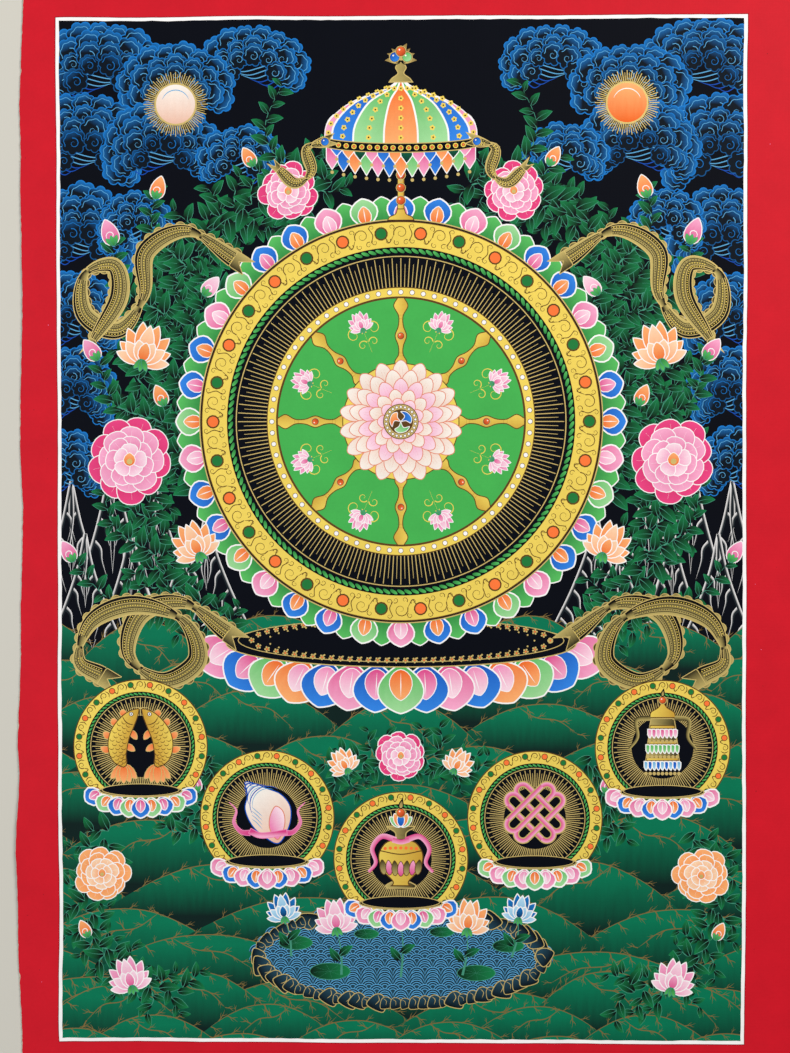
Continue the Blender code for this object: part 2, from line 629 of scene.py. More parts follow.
# %% [markdown]
# ## Petals, leaves and flowers
# Thangka petals are shaded by wet strokes that run from a strong colour at the root to a pale tip,
# and then get a fine white rim. That is two shapes: a white blade and a coloured one inset in it.

# %% Petals
def petal(paint, length, width, rim=0.9, belly=0.45, point=0.7, bend=0.0, line="white"):
    """One petal from 0 upwards, in its paint and the rim's."""
    steps = int(np.clip(length / 2.6, 6, 16))
    outline = bent(blade(length, width, belly, point, steps), bend)
    tip = bent(np.array([1j * length]), bend)[0]
    return rimmed(paint, line, outline, rim, 0, tip)


def hearted_petal(paint, heart, length=34.0, width=27.0):
    """A petal of a lotus seat: a broad coloured one with a smaller one of another colour in it."""
    inner = placed(petal(heart, 0.62 * length, 0.5 * width, 0.7), 0.12j * length)
    crease = shape("white", stroke([0.2j * length, 0.45j * length, 0.66j * length], 0.9))
    return petal(paint, length, width, 1.3, belly=0.55, point=0.75) + inner + [crease]


def peony(paints, radius, seed):
    """A full round bloom: rings of ruffled petals, the outer ones the deepest, round a bud."""
    chance = random.Random(seed)
    bloom = []
    rings = ((9, 1.0, 0.70), (8, 0.80, 0.62), (7, 0.60, 0.50), (5, 0.40, 0.40))
    for (count, reach, width), paint in zip(rings, paints):
        first = chance.uniform(0, 360)
        for k in range(count):
            length = radius * reach * chance.uniform(0.92, 1.06)
            one = petal(paint, length, radius * width, 0.8, belly=0.66, point=0.45,
                        bend=chance.uniform(-0.5, 0.5))
            vein = shape("white", stroke([0.62j * length, 0.88j * length], 0.7))
            bloom += placed(one + [vein], 0, first + 360 * k / count + chance.uniform(-6, 6))
    core = petal("orange", 0.34 * radius, 0.30 * radius, 0.6)
    return bloom + placed(core, -0.14j * radius) + [dot("gold", -0.02j * radius, 0.07 * radius)]


def lotus(paint, heart, size, rim=0.9):
    """A lotus seen from the side: petals fanned behind, then in front, on a green calyx."""
    flower = []
    for angle, length, width in ((62, 0.78, 0.34), (38, 0.95, 0.38), (14, 1.04, 0.40)):
        one = petal(paint, size * length, size * width, rim, belly=0.5, point=0.85, bend=-0.12)
        flower += both_sides(placed(one, 0, -angle))
    flower += placed(petal(heart, size * 0.98, size * 0.42, rim, belly=0.45, point=0.9))
    for angle, length, width in ((78, 0.72, 0.30), (48, 0.70, 0.34), (20, 0.62, 0.36)):
        one = petal(heart, size * length, size * width, rim, belly=0.5, point=0.8)
        flower += both_sides(placed(one, -0.04j * size, -angle))
    flower += placed(petal(paint, size * 0.52, size * 0.34, rim))
    sepal = petal("leaf_bright", size * 0.34, size * 0.16, 0.6, line="leaf_line")
    for angle in (150, 180, 210):
        flower += placed(sepal, 0.08j * size, angle)
    return flower


def bud(paint, size):
    """A closed bud: a drop with a white curl on it, held by three sepals."""
    drop = rimmed(paint, "white", blade(size, 0.66 * size, 0.36, 0.75), 0.8, 0, 1j * size)
    curl = shape("white", stroke(spiral(0.36j * size, 0.2 * size, -60, 1.15, 12), 0.8))
    sepal = petal("leaf_bright", 0.5 * size, 0.24 * size, 0.5, line="leaf_line")
    sepals = both_sides(placed(sepal, -0.02j * size, 34)) + placed(sepal, -0.04j * size)
    return drop + [curl] + placed(sepals, 0, 0, 0.8)


def spiral(centre, radius, start, turns, steps=20):
    """A path that winds in from radius, by turns that may be negative for clockwise."""
    t = np.linspace(0, 1, steps)
    angle = math.radians(start) + math.tau * turns * t
    return centre + radius * (1 - 0.84 * t) * np.exp(1j * angle)


def leaf(size):
    """A pointed leaf, black where it leaves the stem and green at its tip, with two fine lines."""
    outline = bent(blade(size, 0.46 * size, 0.40, 1.0, steps=6), 1.8)
    tip = bent(np.array([1j * size]), 1.8)[0]
    rib = stroke(bent(1j * np.linspace(0, 0.8, 5) * size, 1.8), 0.6, thinning)
    edge = stroke(outline[:7], 0.5)
    green = shape("leaf", outline, 0.15 * tip, tip)
    return [green, shape("leaf_line", rib), shape("leaf_line", edge)]


def vine(paths, size, gap, seed, lean=42):
    """Stems with a leaf on every side in turn, smaller towards the growing end."""
    stems = [shape("leaf_line", stroke(path, 1.6, thinning)) for path in paths]
    leaves = along(paths, leaf(size), gap, lean=lean, taper=0.35, variety=0.3, seed=seed)
    return stems + leaves


def sprays(spine, reach, gap, seed):
    """Short curved stems on both sides of a path, for a thicket."""
    chance = random.Random(seed)
    path = spread(np.asarray(spine, complex), gap, closed=False)
    stems = []
    for k, (at, heading) in enumerate(zip(path, np.gradient(path))):
        lean = (1 if k % 2 else -1) * 62.0 * chance.uniform(0.6, 1.15)
        step = reach * chance.uniform(0.7, 1.1) * heading / abs(heading) * turned(lean)
        bend = turned(chance.uniform(-24, 24))
        stems.append(smooth(at, at + 0.5 * step, at + step * bend))
    return stems


# %% [markdown]
# ## Clouds, peaks, hills and water
# A cloud is a pile of round curls. Each has a scalloped rim, an echo of that rim in thin line, and a
# spiral. The curls sit along arches, the widest and brightest arch first. The inner ones come to the
# front and sink into the dark, so that a cloud is bright along its top and lost at its foot.

# %% Clouds
def scallop(radius, bumps, start=0.0, end=360.0, per_bump=5):
    """A round path with cusped bumps, like a cloud's edge."""
    steps = max(4, round(bumps * per_bump * (end - start) / 360))
    angle = np.radians(np.linspace(start, end, steps + 1))
    ripple = abs(np.sin(0.5 * bumps * angle)) ** 0.75
    return radius * (0.84 + 0.16 * ripple) * np.exp(1j * angle)


def curl(radius, light):
    """One curl of a cloud, its bright side up. light is how bright its rim is, from 0 to 1."""
    bumps = 8
    edge = scallop(radius, bumps)[:-1]
    rim = shape("cloud", edge, *even(light))
    dark = 0.16j * radius
    hollow = shape("cloud", inset(rim.outline, 0.75), dark, dark + 0.92j * radius / light)
    echo = stroke(scallop(0.70 * radius, bumps, -15, 195, 4), 0.5, None)
    wind = stroke(spiral(-0.12j * radius, 0.40 * radius, 90, -1.2, 14), 0.7, thinning)
    line, tone = ("sky", (0, FAR_OFF)) if light > 0.6 else ("cloud", even(0.85))
    return [rim, hollow, shape(line, echo, *tone), shape(line, wind, *tone)]


def cloud(at, width, height, rows, radius, seed, tail):
    """A cloud as wide and high as given, with wisps drawn out to one side of its foot."""
    shapes = []
    for k in range(6):
        reach = width * (0.72 - 0.09 * k)
        start = -0.40 * width * tail - 1j * (1.0 + 3.0 * k)
        path = smooth(start, start + tail * 0.3 * reach + 2.5j, start + tail * 0.7 * reach - 3j,
                      start + tail * reach)
        shapes.append(shape("sky" if k < 3 else "azure", stroke(path, 0.9)))
    for k in range(rows):
        share = 1 - 0.74 * k / rows
        angle = np.radians(np.linspace(205 - 8 * k, -25 + 8 * k, 19))
        sink = -0.05j * height * k
        arch = 0.5 * width * share * np.cos(angle) + 1j * share * height * np.sin(angle) + sink
        light = (1.0, 0.85, 0.62, 0.45, 0.35)[k]
        one = placed(curl(radius * (1 - 0.06 * k), light), 0, 90)
        shapes += along([arch], one, 1.2 * radius, variety=0.3, seed=seed + k, one_side=True)
    return placed(shapes, at)


# %% [markdown]
# A snow peak is dark rock with white strokes that start on its edges and fade inwards. A hill is a
# mound of green that fades to black at its foot. Golden twigs run along its crest, and a second
# line of them bends down its slope.

# %% Peaks and hills
def snow_peak(width, height):
    """A peak on 0, the same on both sides."""
    half, ribs = 0.5 * width, 6
    side = smooth(-half, -0.60 * half + 0.30j * height, -0.22 * half + 0.66j * height, 1j * height)
    rock = shape("black", np.concatenate([side, -np.conj(side[-2::-1])]))
    strokes = []
    for k in range(ribs):
        at = side[int((0.06 + 0.88 * k / ribs) * (len(side) - 1))]
        reach = 0.22 * half + 0.30 * abs(at.real)
        down = smooth(at, at + reach * (0.40 - 0.45j), at + reach * (0.50 - 1.2j),
                      at + reach * (0.85 - 2.3j), steps=4)
        strokes += band("white", down, 4.6 * thinning(len(down), 0.05), 0.55)
    spine = smooth(1j * height, 0.03 * half + 0.75j * height, -0.05 * half + 0.5j * height,
                   0.3j * height)
    strokes += band("white", spine, 3.0 * thinning(len(spine)), 0.6)
    return [rock] + both_sides(strokes + band("white", side, 3.2, 0.6))


DULL_GOLD = even(0.9)
TWIG = [
    shape("gold", stroke([0, 3j, 0.4 + 6.5j, 1.4 + 9.5j], 0.8, thinning), *DULL_GOLD),
    shape("gold", stroke([2.5j, 1.6 + 4.6j, 2.2 + 6.4j], 0.6, thinning), *DULL_GOLD),
    shape("gold", stroke([4.6j, -1.4 + 6.6j, -1.8 + 8.2j], 0.6, thinning), *DULL_GOLD),
]


CREST = (  # in shares of half the hill's width and of its height
    (-1.4, -1.6), (-1, -0.9), (-0.62, -0.36), (-0.25, -0.06), (0.2, -0.04), (0.62, -0.38), (1, -0.95),
    (1.4, -1.7),
)
SLOPE = ((0.34, -0.1), (0.12, -0.42), (-0.16, -0.52), (-0.40, -0.92))


def hill(at, width, height, seed):
    """A mound whose crest passes over a point. Its foot is hidden by the hills in front."""
    half = 0.5 * width
    crest = smooth(*(complex(x * half, y * height) for x, y in CREST), steps=5)
    ground = np.concatenate([[-1.4 * half - 2.4j * height], crest, [1.4 * half - 2.4j * height]])
    lean = random.Random(seed).choice((-1, 1))
    lines = [crest[6:-6], smooth(*(complex(lean * x * half, y * height) for x, y in SLOPE))]
    shapes = [shape("hill", ground, -0.30j * height, -1.45j * height)]
    shapes += [shape("gold", stroke(line, 0.8), *DULL_GOLD) for line in lines]
    return placed(shapes + along(lines, TWIG, 8.5, lean=38, variety=0.6, seed=seed), at)


# %% [markdown]
# Water is drawn in rows of crests, each a small fan of arcs, and each row hides the foot of the row
# behind it.

# %% Water
WAVE = 7.0  # the radius of one fan


def wave_fan():
    """One fan of arcs, turned so that it stands up on a path that runs to the right."""
    fan = [shape("slate", np.append(arc(0, WAVE, 0, 180), 0), 0, 1j * WAVE)]
    for share in (0.97, 0.70, 0.42):
        fan.append(shape("sky", stroke(arc(0, share * WAVE, 4, 176, 1.6), 0.75)))
    return placed(fan, 0, 90)


def water(at, half_width, half_height):
    """An oval pool of wave rows, from its far shore to its near one, and the rocks of its shore."""
    turn = np.linspace(0, math.tau, 72, False)
    shore = at + half_width * np.cos(turn) + 1j * half_height * np.sin(turn)
    paths = []
    rows = int(2 * half_height / (0.55 * WAVE))
    for k in range(1, rows + 1):
        y = half_height - k * 0.55 * WAVE
        reach = half_width * math.sqrt(max(0.0, 1 - (y / half_height) ** 2))
        count = max(1, round(reach / WAVE))
        start = -count * WAVE + (WAVE if k % 2 else 0)
        paths.append(at + np.array([start, -start + 0.001]) + 1j * y)
    waves = along(paths, wave_fan(), 2 * WAVE, one_side=True)
    edge = closed(-6 - 4j, 6 - 4j, 7 + 1j, 4 + 6j, -1 + 7.5j, -5 + 4j)
    crack = shape("gold", stroke(smooth(-2 + 6j, 0.5 + 3j, -0.5 - 1j), 0.5))
    rock = placed(rimmed("slate", "gold", edge, 0.6, 6j, -4j) + [crack], 0, 90)
    rocks = along([np.append(shore, shore[0])], rock, 8.4, variety=0.5, seed=3, one_side=True)
    return [shape("slate", shore)] + waves + rocks


# %% [markdown]
# ## Rings, ropes, rays and pearls
# The big wheel and the small medallions share their rings. A scroll ring is yellow gold with a brown
# spiral line and round stones. A rope is a ring of slanting green lobes. Rays are hair-thin gold.

# %% Rings of ornament
SMALL_SPIRALS = (
    # x as a share of a unit's length, y as a share of the ring's width, first angle, turns
    (-0.24, 0.27, -50, 1.2), (0.29, 0.30, 230, -1.2), (-0.33, -0.28, 40, -1.1),
    (-0.10, -0.34, 140, 1.1), (0.14, -0.33, 60, 1.1), (0.30, -0.28, 130, 1.2),
)


def scroll_ring(centre, inner, outer, units):
    """A gold ring of brown spirals, with a red or a green stone between them in turn."""
    wide = outer - inner
    mid = 0.5 * (inner + outer)
    pitch = math.tau * mid / units
    wind = spiral(0.05j * wide, 0.30 * wide, 200, -1.35, 16)
    runner = smooth(wind[0], -0.32 * pitch - 0.34j * wide, -0.5 * pitch + 0.30j * wide)
    stem = smooth(0.3 * wide - 0.3j * wide, 0.44 * wide, 0.3 * wide + 0.34j * wide)
    scrolls = [shape("brown", stroke(wind, 0.9, thinning)), shape("brown", stroke(runner, 0.8)),
               shape("brown", stroke(stem, 0.8))]
    if wide > 15:
        for x, y, start, turns in SMALL_SPIRALS:
            small = spiral(x * pitch + 1j * y * wide, 0.125 * wide, start, turns, 10)
            scrolls.append(shape("brown", stroke(small, 0.7, thinning)))
    shapes = round_ring("yellow_gold", "brown", centre, inner, outer, 0.9)[:2]
    shapes += around(centre, scrolls, units, mid)
    for paint, start in (("minium", 90), ("leaf_bright", 90 + 360 / units)):
        touch = [dot("brown", 0.5 * pitch, 0.27 * wide), dot(paint, 0.5 * pitch, 0.21 * wide)]
        shapes += around(centre, touch, units // 2, mid, start)
    return shapes


def rope_ring(centre, radius, thick, count):
    """A twisted cord: slanting lobes, each over the last, on a dark ring."""
    outline = blade(2.0 * thick, 0.95 * thick, 0.5, 0.45)
    lobe = rimmed("leaf_bright", "black", outline, 0.5, 0, 2j * thick)
    slanted = placed(placed(lobe, -1j * thick), 0, 62)
    ring = shape("black", circle(centre, radius + 0.75 * thick))
    return [ring] + around(centre, slanted, count, radius)


def rays(centre, inner, outer, count):
    """Long and short rays in turn."""
    shapes = []
    for foot, top, share, start in ((0.42, 0.34, 1.0, 90), (0.36, 0.2, 0.8, 90 + 180 / count)):
        end = 1j * share * (outer - inner)
        shapes += around(centre, [shape("gold", [-foot, foot, top + end, -top + end])], count, inner, start)
    return shapes


def pearl_ring(centre, radius, size, count):
    """A ring of pearls, each a white touch on a slightly larger brown one."""
    places = centre + radius * np.exp(1j * np.radians(90 + 360 * np.arange(count) / count))
    return [dot(paint, place, reach) for paint, reach in (("brown", size + 0.45), ("white", size))
            for place in places]


# %% [markdown]
# ## Brocade and silk
# A gilded silk scarf is black with gold washed over it from one edge. It turns over as it flutters,
# so it narrows, and then shows its other side. It is laid in short lengths, from one end to the
# other, because it may cross over itself: a gold edge, the fading silk, and the lines of its folds.

# %% Scarves
LENGTH = 5  # steps of the path in one length of silk
FOLDS = ((0.62, "black"), (0.24, "black"), (-0.24, "gold"), (-0.62, "gold"))
SPECKS = ((0.43, "black"), (0.04, "yellow_gold"), (-0.43, "yellow_gold"))


def scarf(path, width, turns, lobes=True):
    """A scarf along a path. It turns over so many times, and may have a scalloped edge."""
    path = spread(np.asarray(path, complex), 2.2, closed=False)
    facing = np.cos(math.pi * turns * np.linspace(0, 1, len(path)) + 0.5)
    half = 0.5 * width * (0.34 + 0.66 * abs(facing) ** 0.8)
    heading = np.gradient(path)
    heading /= abs(heading)
    side = 1j * heading * half
    shapes = []
    if lobes:
        for at in range(0, len(path), 4):
            lobe = rimmed("silk", "gold", circle(0, 4.8, 1.4), 0.6, 4.8, -4.8)
            shapes += placed(lobe, path[at] + side[at] * (1 - 2.6 / half[at]))
    for end, out in ((0, -heading[0]), (-1, heading[-1])):
        left, right = path[end] + side[end], path[end] - side[end]
        notch = path[end] + 0.35 * width * out
        tail = np.array([left, left + 1.1 * width * out, notch, right + 0.95 * width * out, right])
        shapes += rimmed("silk", "gold", spread(tail, 3.0), 0.7, left, right)
    for k in range(0, len(path) - 1, LENGTH):
        run = slice(k, min(k + LENGTH, len(path) - 1) + 1)
        rim = side[run] * (1 - 0.8 / half[run])
        strip = np.concatenate([path[run] - side[run], (path[run] + side[run])[::-1]])
        shapes.append(shape("gold", strip))
        left, right = path[run] + rim, path[run] - rim
        for n in range(len(left) - 1):
            gilded, plain = (left[n], right[n]) if facing[k + n] > 0 else (right[n], left[n])
            quad = [right[n], right[n + 1], left[n + 1], left[n]]
            shapes.append(shape("silk", quad, gilded, gilded + 0.8 * (plain - gilded)))
        for share, paint in FOLDS:
            line = path[run] + share * side[run] * np.sign(facing[run])
            if half[run].min() > 0.2 * width and len(line) > 2:
                shapes.append(shape(paint, stroke(line, 0.6, None)))
        for n in range(len(left) - 1):
            for share, paint in SPECKS:
                if half[k + n] > 0.3 * width:
                    speck = path[k + n] + share * side[k + n] * np.sign(facing[k + n])
                    shapes.append(dot(paint, speck, 0.5))
    return shapes


def silk_tongue(paint, length, width):
    """A hanging flap of silk with a pointed end, drawn downwards from 0."""
    half = 0.5 * width
    outline = [-half, half, half - 0.62j * length, -1j * length, -half - 0.62j * length]
    flap = rimmed(paint, "white", spread(np.array(outline), 2.6), 0.8, 0, -1j * length)
    return flap + [dot("gold", -1j * length - 1.6j, 1.5)]


def stone(paint, at, radius):
    """A polished stone in a gold setting, with a light on it."""
    light = radius * (-0.7 + 0.8j)
    face = shape(paint, circle(at, radius, 1.4), at + light, at - light)
    return [dot("gold", at, radius + 1.0), dot("black", at, radius + 0.35), face,
            dot("white", at + 0.45 * light, 0.2 * radius)]


def flame(size):
    """A tongue of fire: a bent blade of gold with a hooked tip, in a dark rim."""
    outer = shape("black", bent(blade(size, 0.46 * size, 0.3, 1.3), 2.2))
    return [outer, shape("gold", inset(outer.outline, 0.9), 0, 1j * size)]

# %% [markdown]
# ## The picture, from back to front
# The design is a generic one: the eight lucky signs that many thangkas carry. A wheel stands in the
# middle, a parasol shades it, a lotus grows from the pool, and five medallions hold the fish, the
# vase, the shell, the endless knot and the banner. It is laid from the sky forwards.

# %% Sky, peaks and hills
def lay(*motifs):
    """Lays motifs over the picture so far."""
    for motif in motifs:
        picture.extend(motif)


WHEEL = 96j
WHEEL_RADIUS = 196.0
HORIZON = -52.0

far_corner = complex(HALF_WIDTH, HALF_HEIGHT) + 12 + 12.5j
lay([shape("black", [-far_corner, far_corner.conjugate(), far_corner, -far_corner.conjugate()])])

PEAKS = (
    # x, foot, width, height
    (170, -80, 70, 96),
    (214, -80, 84, 132),
    (288, -80, 84, 124),
    (252, -84, 84, 158),
    (236, -90, 56, 96),
    (276, -94, 60, 92),
    (192, -92, 56, 78),
)
for x, foot, width, height in PEAKS:
    lay(both_sides(placed(snow_peak(width, height), x + 1j * foot)))

HILL_ROWS = 10
HILL_STEP = 36.0
for row in range(HILL_ROWS):
    y = HORIZON - 20 - HILL_STEP * row
    width = 124.0 + 8 * row
    shift = 0.5 * width if row % 2 else 0.0
    for place in (-3, 3, -2, -1, 2, 1, 0):  # from both sides inwards, so the middle lies on top
        x = (place * width + shift) * 0.9
        if abs(x) < HALF_WIDTH + 0.5 * width:
            rise = 36.0 + 8 * math.sin(2.3 * place + row)
            lay(hill(x + 1j * (y + 7 * math.cos(1.7 * place + row)), width, rise, seed=10 * row + place))
print(len(picture), "shapes in the landscape")

# %% [markdown]
# ## The pool and its lotus

# %% Pool
NEAR_HILLS = (
    # x, y, width, height
    (-178, -386, 120, 34), (180, -384, 122, 36), (-252, -398, 120, 34), (250, -396, 120, 36),
    (-116, -414, 110, 26), (120, -415, 112, 26), (-216, -424, 120, 30), (214, -422, 120, 30),
    (-40, -428, 110, 22), (44, -429, 110, 22), (-140, -440, 110, 22), (136, -441, 110, 22),
    (-286, -436, 110, 26), (284, -438, 110, 26),
)
lay(water(-372j, 126, 42))
for seed, (x, y, width, rise) in enumerate(NEAR_HILLS):
    lay(hill(x + 1j * y, width, rise, seed=200 + seed))


def lily_pad(at, radius):
    """A round leaf that lies on the water, seen from low down, with its veins."""
    edge = circle(0, radius).real + 0.42j * circle(0, radius).imag
    ends = [0.8 * radius * complex(math.cos(a), 0.42 * math.sin(a)) for a in np.arange(0.3, 6.2, 0.75)]
    veins = [shape("leaf_line", stroke([0, end], 0.6)) for end in ends]
    return placed(rimmed("leaf", "leaf_line", edge, 0.6, -radius, radius) + veins, at)


def lotus_plant(at, height, paints, size, lean):
    """A side-view lotus on its stem, with two leaves."""
    top = height * complex(math.sin(math.radians(lean)), math.cos(math.radians(lean)))
    stalk = [shape("leaf_line", stroke(smooth(0, 0.5 * top + 2, top), 2.2, thinning))]
    leaves = placed(leaf(15), 0.30 * top, 50) + placed(leaf(15), 0.42 * top, -46 - lean)
    return placed(stalk + leaves + placed(lotus(*paints, size), top, -lean), at)


LILY_PADS = (
    # x, y, radius
    (-92, -360, 15), (-62, -385, 18), (94, -362, 14), (66, -386, 17), (-30, -352, 11), (36, -350, 11),
)
LOTUS_PLANTS = (
    # foot, height, paints, size, lean
    (-96 - 372j, 34, ("cloud", "sky"), 22, -10),
    (97 - 372j, 34, ("cloud", "sky"), 22, 10),
    (-52 - 388j, 40, ("pink", "blush"), 27, -6),
    (54 - 388j, 40, ("orange", "apricot"), 27, 6),
    (-390j, 50, ("pink", "blush"), 40, 0.0),
)
for x, y, radius in LILY_PADS:
    lay(lily_pad(x + 1j * y, radius))
for plant in LOTUS_PLANTS:
    lay(lotus_plant(*plant))
print(len(picture), "shapes with the pool")

# %% [markdown]
# ## Clouds, vines and flowers round the wheel

# %% Clouds
CLOUDS = (
    # the left one's place, the right one's, width, height, rows, radius, the left one's tail
    (-128 + 404j, 132 + 404j, 78, 26, 3, 11.0, -1),
    (-262 + 398j, 262 + 400j, 96, 34, 4, 13.0, 1),
    (-196 + 388j, 198 + 386j, 84, 26, 3, 12.0, 1),
    (-276 + 330j, 276 + 326j, 84, 42, 4, 13.0, 1),
    (-208 + 330j, 206 + 332j, 86, 34, 4, 12.5, 1),
    (-140 + 322j, 142 + 324j, 58, 22, 3, 10.5, -1),
    (-278 + 252j, 278 + 250j, 74, 40, 4, 12.5, 1),
    (-232 + 262j, 230 + 264j, 50, 26, 3, 10.5, -1),
    (-284 + 182j, 284 + 180j, 62, 34, 4, 12.0, 1),
    (-286 + 118j, 286 + 116j, 56, 34, 4, 11.5, 1),
    (-290 + 52j, 290 + 54j, 46, 28, 3, 11.0, 1),
)
for right in (False, True):
    for number, (left_at, right_at, width, height, rows, radius, tail) in enumerate(CLOUDS):
        seed = 10 * (number + right * len(CLOUDS))
        at, tail = (right_at, -tail) if right else (left_at, tail)
        lay(cloud(at, width, height, rows, radius, seed, tail))
print(len(picture), "shapes with the clouds")

# %% Vines
THICKETS = (
    smooth(150 - 96j, 198 - 58j, 222 + 4j, 226 + 70j),
    smooth(210 + 60j, 226 + 110j, 216 + 170j, 190 + 222j),
    smooth(198 + 210j, 168 + 258j, 124 + 288j, 70 + 304j),
    smooth(176 + 30j, 192 + 90j, 184 + 160j, 156 + 208j),
)
SIDE_STEMS = (
    smooth(214 - 20j, 250 + 4j, 262 + 46j),
    smooth(208 + 96j, 250 + 112j, 264 + 152j),
    smooth(206 + 190j, 244 + 214j, 252 + 250j),
    smooth(188 + 232j, 216 + 262j, 214 + 296j),
    smooth(60 + 304j, 104 + 322j, 118 + 352j, 104 + 388j),
    smooth(176 - 62j, 214 - 72j, 256 - 58j, 282 - 30j),
)


def on_side(paths, side):
    """Paths of the right side as they are, or mirrored for the left."""
    return [path if side > 0 else -np.conj(path) for path in paths]


def thicket(spines, reach, gap, size, seed):
    """Leafy sprays along a few paths."""
    stems = [stem for number, spine in enumerate(spines) for stem in sprays(spine, reach, gap, seed + number)]
    return vine(stems, size, 6.4, seed, lean=36)


for side, seed in ((1, 4), (-1, 9)):
    lay(thicket(on_side(THICKETS, side), 36, 8.0, 20.0, seed))
    lay(vine(on_side(SIDE_STEMS, side), 19.0, 6.5, seed + 20))
print(len(picture), "shapes with the vines")

# %% [markdown]
# ## The wheel
# From the outside in: a fringe of lotus petals, a gold scroll ring, a green rope, black with gold
# rays, the gold rim, the green field with its eight spokes, and a pale lotus rosette for the hub.

# %% Wheel
def fringe(centre, radius, count, length, width):
    """Petals in four pairs of colours, with green ones behind to fill the gaps."""
    pairs = (("azure", "pink"), ("malachite", "orange"), ("pink", "blush"), ("azure", "orange"))
    behind = petal("leaf_bright", 0.98 * length, width, 1.0, belly=0.5, point=0.8)
    shapes = around(centre, behind, count, radius, start=90 + 180 / count)
    for k, (outer, heart) in enumerate(pairs):
        one = hearted_petal(outer, heart, length, width)
        shapes += around(centre, one, count // 4, radius, start=90 + k * 360 / count)
    return shapes


def spoke(inner, outer):
    """A gilded spoke: a slim vase form, a collar at both ends, and a stone in its middle."""
    long = outer - inner
    profile = ((3.4, 0), (5.6, 0.10), (2.4, 0.20), (2.6, 0.32), (5.4, 0.46), (2.6, 0.60), (2.4, 0.74),
               (6.6, 0.88), (3.0, 1))
    half = smooth(*(complex(x, share * long) for x, share in profile))
    body = rimmed("yellow_gold", "brown", mirrored(half), 0.8, -7, 9)
    rings = [shape("brown", stroke([-3.4 + 1j * share * long, 3.4 + 1j * share * long], 0.8))
             for share in (0.18, 0.22, 0.70, 0.75)]
    return placed(body + rings + stone("minium", 0.46j * long, 2.6), 1j * inner)


def green_sprig(size):
    """A gold scroll with a small lotus on the green field, between two spokes."""
    left = stroke(spiral(-0.36 * size + 0.02j * size, 0.30 * size, -10, 1.25, 18), 1.1, thinning)
    low = stroke(spiral(-0.20 * size - 0.42j * size, 0.18 * size, 20, 1.1, 14), 0.9, thinning)
    lines = both_sides([shape("yellow_gold", left), shape("yellow_gold", low)])
    lines.append(shape("yellow_gold", stroke([-0.75j * size, 0.1j * size], 1.0)))
    return lines + placed(lotus("pink", "blush", 0.62 * size, 0.6), 0.12j * size)


ROSETTE = (
    # paint, count, the roots' radius, length, width, turn
    ("ivory", 18, 26, 28, 15, 0), ("ivory", 16, 19, 27, 15, 10), ("blush", 14, 14, 24, 14, 0),
    ("ivory", 12, 9, 20, 13, 12), ("blush", 9, 6, 15, 12, 10),
)


def wheel(centre, radius):
    """The whole wheel, each ring laid over the last."""
    shapes = fringe(centre, radius - 26, 36, 27, 25)
    shapes += round_ring("black", "gold", centre, 100, radius - 20, 1.0)[:2]
    shapes += scroll_ring(centre, radius - 44, radius - 22, 30)
    shapes += rope_ring(centre, radius - 47.5, 4.2, 150)
    shapes += round_ring("black", "gold", centre, 100, radius - 52, 0.9)[:2]
    shapes += rays(centre, 117, radius - 54, 116)
    shapes += round_ring("yellow_gold", "brown", centre, 108, 117, 0.8)
    shapes += pearl_ring(centre, 112.5, 1.9, 72)
    shapes += [shape("malachite", circle(centre, 107))]
    shapes += around(centre, placed(green_sprig(25.0), 84j), 8, 0.0, start=90 + 22.5)
    shapes += around(centre, spoke(46, 108), 8, 0.0)
    shapes += round_ring("yellow_gold", "brown", centre, 40, 51, 0.8)[:2]
    for paint, count, root, length, width, turn in ROSETTE:
        one = petal(paint, length, width, 0.7, belly=0.56, point=0.6, line="salmon")
        veins = [shape("salmon", stroke([x + 0.34j * length, 0.6 * x + 0.78j * length], 0.5))
                 for x in (-0.12 * width, 0.12 * width)]
        shapes += around(centre, one + veins, count, root, start=90 + turn)
    shapes += round_ring("gold", "brown", centre, 10, 15.5, 0.7)
    shapes += pearl_ring(centre, 12.8, 1.0, 22)
    comma = closed(0, 4.4 + 0.4j, 8.6 - 1.5j, 9.6 + 3.4j, 5.2 + 8.4j, -0.4 + 8.8j, 3.0 + 4.6j)
    for paint, turn in (("azure", 0), ("orange", 120), ("malachite", 240)):
        shapes += placed(rimmed(paint, "white", comma, 0.6, 0, 9), centre, turn)
    return shapes


# %% [markdown]
# The wheel stands on a lotus seat: a black cushion with a gold edge, over broad two-coloured petals.

# %% Lotus seat
SEAT_PAINTS = (
    ("pink", "blush"), ("azure", "pink"), ("malachite", "orange"), ("orange", "blush"), ("azure", "blush")
)


